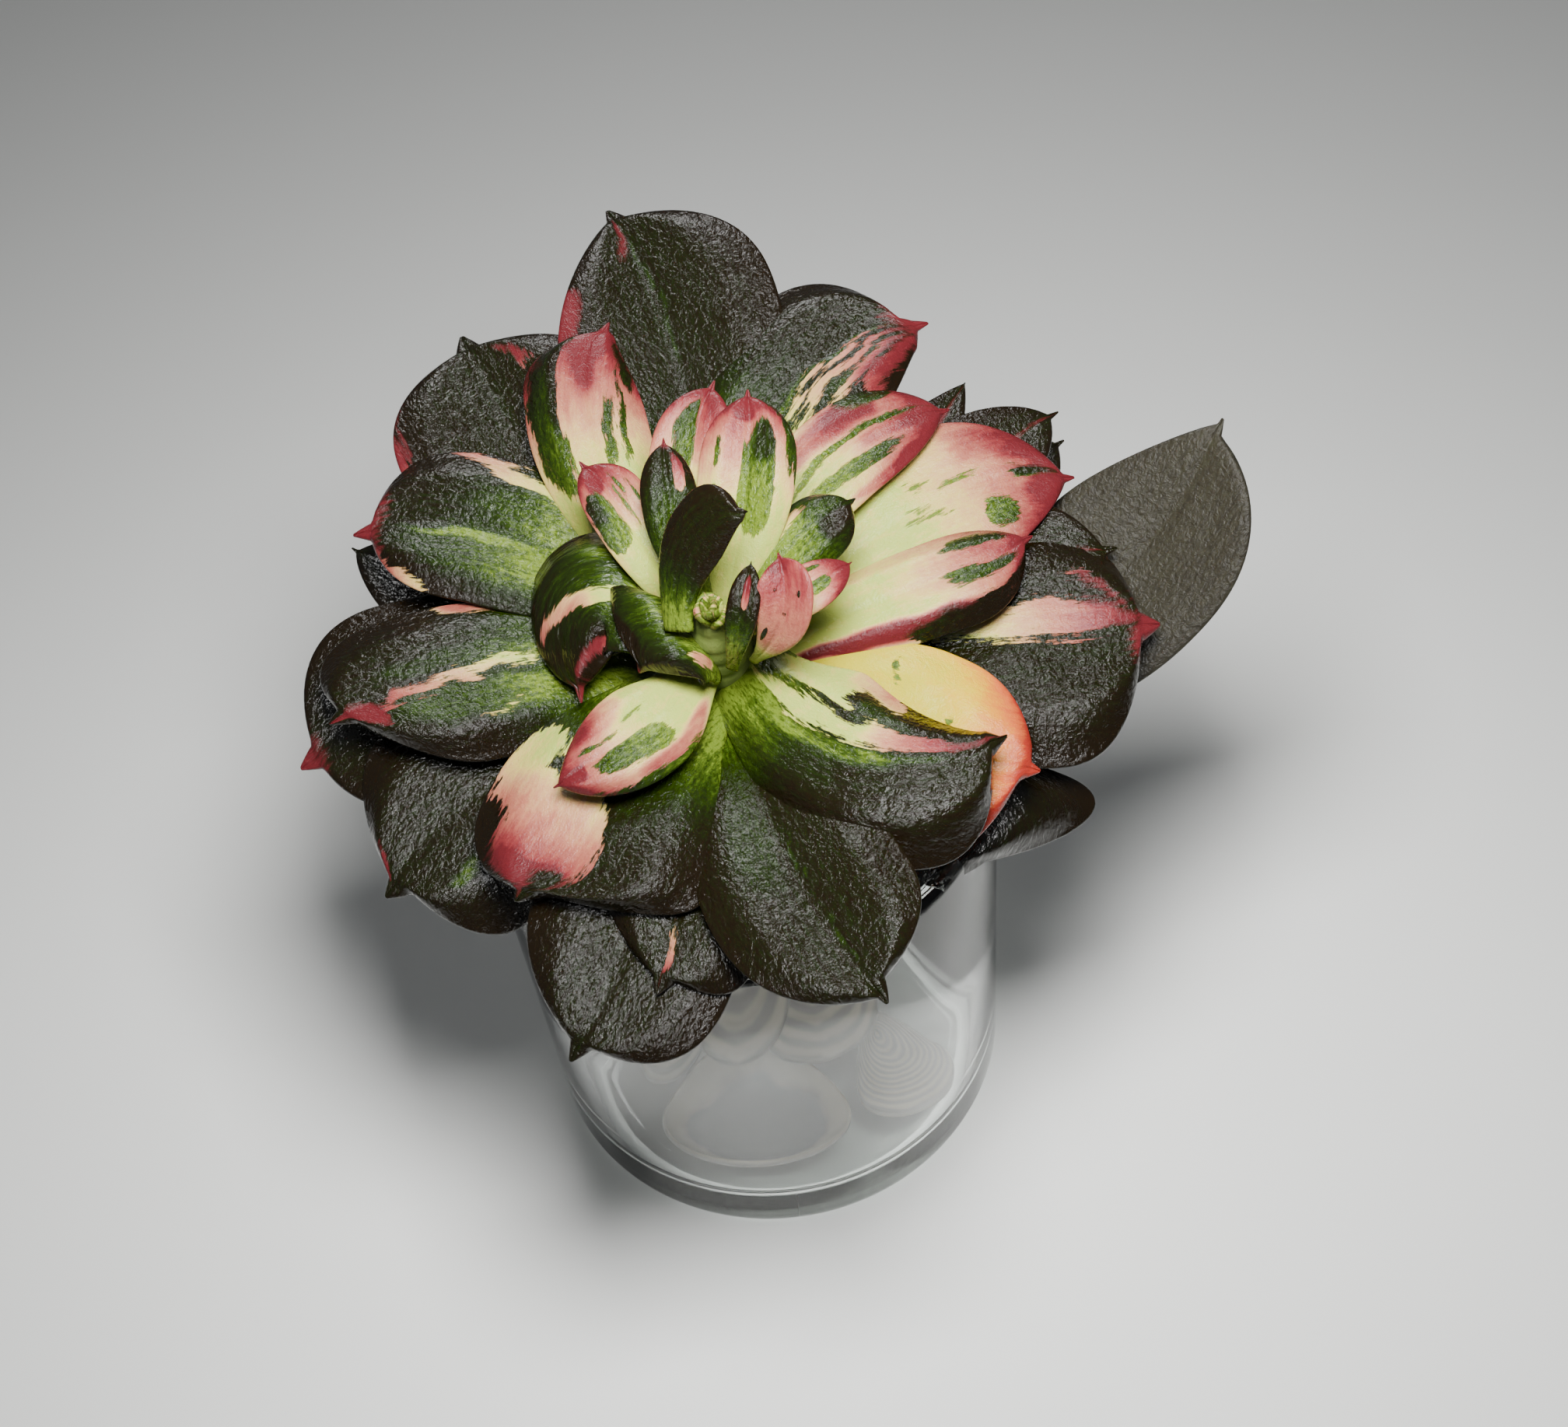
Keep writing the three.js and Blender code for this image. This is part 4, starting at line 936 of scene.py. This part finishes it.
def stem_mesh():
    """Rings of the profile's radius, swollen a little between the scars, along the bent axis."""
    height = np.linspace(STEM_PROFILE[0, 0], STEM_PROFILE[-1, 0], STEM_RINGS)
    angle = np.linspace(0, 2 * np.pi, STEM_SIDES, endpoint=False)
    level, turned = np.meshgrid(height, angle, indexing="ij")
    scar = np.abs(np.sin(np.pi * level / SCAR_PITCH + SCAR_SLANT * np.sin(turned)))
    radius = np.interp(level, STEM_PROFILE[:, 0], STEM_PROFILE[:, 1]) - SCAR_DEPTH * (1 - scar) ** 2
    bent = LEAN * np.clip(-level / STEM_BEND, 0, 1)
    below = np.minimum(level, 0)
    points = np.stack([
        radius * np.cos(turned),
        below * np.sin(LEAN) + radius * np.sin(turned) * np.cos(bent),
        np.maximum(level, 0) + below * np.cos(LEAN) - radius * np.sin(turned) * np.sin(bent),
    ], -1)
    return closed_mesh("fine_stem", leant(points[0].mean(0)), leant(points), leant(points[-1].mean(0)),
                       young=smooth(*YOUNG_HEIGHT, level))


def stem_finish():
    """Brown bark in three tones of one noise, which is also its relief, and green where it is young."""
    finish = Finish("woody_stem")
    place = finish.node("TexCoord", out="Object")
    mottle = finish.noise(finish.scaled(place, BARK_MOTTLES), detail=4, rough=0.65)
    bark = [(0.3, 0.04, 0.036, 0.016), (0.5, 0.1, 0.1, 0.035), (0.7, 0.2, 0.18, 0.08)]
    tone = finish.ramp(mottle, bark)
    tone = finish.blend(finish.attribute("young"), tone, colour(0.15, 0.2, 0.045))
    bump = finish.node("Bump", None, {"Height": mottle * BARK_RELIEF, "Strength": 1.0, "Distance": MM})
    return finish.surface(Base_Color=tone, Roughness=0.6, Normal=bump)


stand_in(stem_mesh(), "stem", stem_finish())
print("stem:", STEM_RINGS, "rings of", STEM_SIDES, "points")

# %% [markdown]
# ## The tumbler
# The tumbler is turned: a profile carried round the axis, with a thick foot, a rounded heel and a rounded
# rim. Its surface is a function of the place along the profile and the angle. Glass bends and mirrors
# light by its own shader. Lamps would not reach the shells through it without a stand-in, so rays that go
# to a lamp pass it as if it were a clear film.

# %% Tumbler
GLASS_RADIUS = 24.0
GLASS_HEIGHT = 48.0
GLASS_WALL = 2.0
GLASS_FLOOR = 4.5
GLASS_HEEL = 3.2
FOOT_FLAT = 10.0
FLOOR_FLAT = 9.0
ROUND_STEPS = 14
INNER_STEPS = 12
GLASS_SIDES = 180
GLASS_TINT = colour(0.96, 0.98, 0.97)
FILM_TINT = colour(0.88, 0.9, 0.89)


def arc(x, z, radius, start, end, steps):
    """Points on a circle about (x, z), from one angle to another in degrees."""
    angle = np.radians(np.linspace(start, end, steps + 1))
    return np.stack([x + radius * np.cos(angle), z + radius * np.sin(angle)], -1)


def turned_mesh(name, profile, sides):
    """A closed profile from the axis back to the axis, carried round Z."""
    angle = np.linspace(0, 2 * np.pi, sides, endpoint=False)
    radius, height = profile[1:-1, 0, None], profile[1:-1, 1, None]
    rings = np.stack([radius * np.cos(angle), radius * np.sin(angle), height + 0 * angle], -1)
    ends = [np.array([0, 0, profile[k, 1]]) for k in (0, -1)]
    return closed_mesh(name, ends[0] * MM, rings * MM, ends[1] * MM)


def glass_profile():
    """Foot, outer heel, wall, rim, wall, inner heel and floor, as (radius, height)."""
    inner = GLASS_RADIUS - GLASS_WALL
    lip = GLASS_WALL / 2
    return np.vstack([
        [[0, 0], [FOOT_FLAT, 0]],
        arc(GLASS_RADIUS - GLASS_HEEL, GLASS_HEEL, GLASS_HEEL, -90, 0, ROUND_STEPS),
        [[GLASS_RADIUS, GLASS_HEIGHT / 2]],
        arc(GLASS_RADIUS - lip, GLASS_HEIGHT - lip, lip, 0, 180, ROUND_STEPS),
        [[inner, GLASS_HEIGHT / 2]],
        arc(inner - GLASS_HEEL, GLASS_FLOOR + GLASS_HEEL, GLASS_HEEL, 0, -90, INNER_STEPS),
        [[FLOOR_FLAT, GLASS_FLOOR], [0, GLASS_FLOOR]],
    ])


def glass_finish():
    """Clear glass, and a clear film for the rays that go to a lamp."""
    finish = Finish("clear_glass")
    glass = finish.node("BsdfPrincipled", None, {
        "Base Color": GLASS_TINT, "Roughness": 0.02, "IOR": 1.48, "Transmission Weight": 1.0})
    film = finish.node("BsdfTransparent", None, {"Color": FILM_TINT})
    to_lamp = finish.node("LightPath", out="Is Shadow Ray")
    return finish.output(finish.node("MixShader", None, {0: to_lamp, 1: glass, 2: film}))


glass = turned_mesh("fine_tumbler", glass_profile(), GLASS_SIDES)
stand_in(glass, "glass_tumbler", glass_finish())
print("tumbler:", len(glass.polygons), "faces")

# %% [markdown]
# ## The seashells
# A half shell grows from its beak outwards, so growth lines run round the beak. The surface is a function
# of the reach from the beak and the angle round it: a dome outside, and the same dome less the wall
# inside. Each one is turned as its node is, and its lowest point is set where that node's is.

# %% Seashells
SHELLS = {
    "shell_oval": dict(length=19, breadth=11, depth=3, beak=0.3, turned=(176, 4, -4), at=(-3, -14)),
    "shell_tan": dict(length=11, breadth=9, depth=2.6, beak=0.5, turned=(-14, 10, 40), at=(12.5, -11)),
    "shell_pale": dict(length=14, breadth=12, depth=3.4, beak=0.6, turned=(12, -30, 70), at=(-11.5, -2.5)),
    "shell_long": dict(length=21, breadth=12, depth=3.6, beak=0.4, turned=(16, 8, 30), at=(6.5, -4.5)),
    "shell_ribbed": dict(length=17, breadth=18, depth=4.6, beak=0.85, turned=(24, -4, 4), at=(-4, -4),
                         ribs=8),
}
SHELL_WALL = 1.1
SHELL_SIDES = 96
OUTER_RINGS = 60
INNER_RINGS = 40
BEAK_REACH = 0.02
LIP_REACH = 0.985
GROWTH_LINES = 26
LINE_RELIEF = 0.05
RIB_RELIEF = 0.2
AUGER_RINGS = 180
AUGER_SIDES = 48
AUGER_SWELL = 0.13
AUGER_GROOVE = 0.1
SHELL_CLOUDS = 300
COLOUR_LINES = 75.0
LINE_WAVER = 0.06
AUGER = dict(length=21, radius=3.1, whorls=6, turned=(22, -24, 60), at=(14.5, -1))


def turned_by(points, degrees):
    """Points turned about X, then Y, then Z."""
    for axis, angle in zip("XYZ", degrees):
        points = points @ np.array(Matrix.Rotation(np.radians(angle), 3, axis)).T
    return points


def settled(node, points, at):
    """Points moved to their place, with the lowest at the height of the node's lowest."""
    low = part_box(node)[0][2] / MM
    return (points + np.array([at[0], at[1], low - points[..., 2].min()])) * MM


def valve_mesh(node, length, breadth, depth, beak, turned, at, ribs=0):
    """A dome of (1 - reach^2)^0.7 over an oval that grows from the beak, with fine growth lines on it."""
    peak = beak * breadth / 2
    angle = np.linspace(0, 2 * np.pi, SHELL_SIDES, endpoint=False)
    outer = np.linspace(BEAK_REACH, 1, OUTER_RINGS)
    inner = np.linspace(LIP_REACH, BEAK_REACH, INNER_RINGS)
    reach = np.concatenate([outer, inner])
    inside = (np.arange(len(reach)) >= OUTER_RINGS)[:, None]
    far, turn = np.meshgrid(reach, angle, indexing="ij")
    dome = depth * np.clip(1 - far ** 2, 0, 1) ** 0.7
    lines = LINE_RELIEF * np.sin(2 * np.pi * far * GROWTH_LINES)
    if ribs:
        lines = lines + RIB_RELIEF * np.sin(2 * np.pi * far * ribs - np.pi / 2)
    height = np.where(inside, dome - SHELL_WALL, dome + lines * (1 - far ** 8))
    points = np.stack([
        far * length / 2 * np.cos(turn), peak + far * (breadth / 2 * np.sin(turn) - peak), height], -1)
    ends = np.array([[0, peak, depth], [0, peak, depth - SHELL_WALL]])
    whole = turned_by(np.vstack([ends, points.reshape(-1, 3)]), turned)
    whole = settled(node, whole, at)
    return closed_mesh("fine_" + node, whole[0], whole[2:].reshape(points.shape), whole[1], reach=far,
                       inside=inside * np.ones_like(far))


def auger_mesh(node, length, radius, whorls, turned, at):
    """A cone whose radius swells once a whorl, with a groove between the whorls."""
    share = np.linspace(0, 1, AUGER_RINGS + 1)[:-1]
    angle = np.linspace(0, 2 * np.pi, AUGER_SIDES, endpoint=False)
    t, turn = np.meshgrid(share, angle, indexing="ij")
    phase = turn - 2 * np.pi * whorls * t
    groove = AUGER_GROOVE * np.exp(-8 * (1 + np.cos(phase)))
    wide = radius * (1 - t) ** 0.85 * (0.98 + AUGER_SWELL * np.cos(phase) - groove)
    points = np.stack([wide * np.cos(turn), wide * np.sin(turn), length * (t - 0.5)], -1)
    ends = np.array([[0, 0, -length / 2], [0, 0, length / 2]])
    whole = settled(node, turned_by(np.vstack([ends, points.reshape(-1, 3)]), turned), at)
    return closed_mesh("fine_" + node, whole[0], whole[2:].reshape(points.shape), whole[1], reach=t,
                       inside=0 * t)


def shell_finish(name, back, lines, hollow):
    """Growth lines in two tones outside, and a smooth, pearly hollow."""
    finish = Finish(name)
    reach = finish.attribute("reach")
    place = finish.node("TexCoord", out="Object")
    cloud = finish.noise(finish.scaled(place, (SHELL_CLOUDS,) * 3), detail=3)
    wave = finish.node("Math", {"operation": "SINE"}, {0: (reach + cloud * LINE_WAVER) * COLOUR_LINES})
    outside = finish.blend(finish.between(wave + cloud - 0.5, -0.8, 0.8), back, lines)
    inner = finish.blend(finish.between(reach + (cloud - 0.5) * 0.3, 0.7, 0.85), hollow, back)
    tone = finish.blend(finish.attribute("inside"), outside, inner)
    outer = 1 - finish.attribute("inside")
    bump = finish.node("Bump", None, {"Height": wave * outer * 0.03, "Strength": 0.6, "Distance": MM})
    return finish.surface(Base_Color=tone, Roughness=0.38, Normal=bump)


CREAM_SHELL = shell_finish(
    "pearl_shell", colour(0.22, 0.185, 0.125), colour(0.085, 0.072, 0.05), colour(0.2, 0.17, 0.12))
GREY_SHELL = shell_finish(
    "grey_shell", colour(0.24, 0.2, 0.13), colour(0.1, 0.09, 0.08), colour(0.032, 0.029, 0.038))
SHELL_FINISHES = {"pearl_shell": CREAM_SHELL, "grey_shell": GREY_SHELL}

for node, facts in SHELLS.items():
    stand_in(valve_mesh(node, **facts), node, SHELL_FINISHES[SLOTS[node]])
stand_in(auger_mesh("shell_spiral", **AUGER), "shell_spiral", CREAM_SHELL)
print("shells:", len(SHELLS), "half shells and a spiral one")

# %% [markdown]
# ## Measure and finish
# The box of the imported model and the box of what is shown are printed side by side.

# %% Print the two boxes and finish
visual_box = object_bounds()
for name, box in (("packed", packed_box), ("visual", visual_box)):
    print(name, "box in mm:", np.round(np.array(box) / MM, 1).tolist())
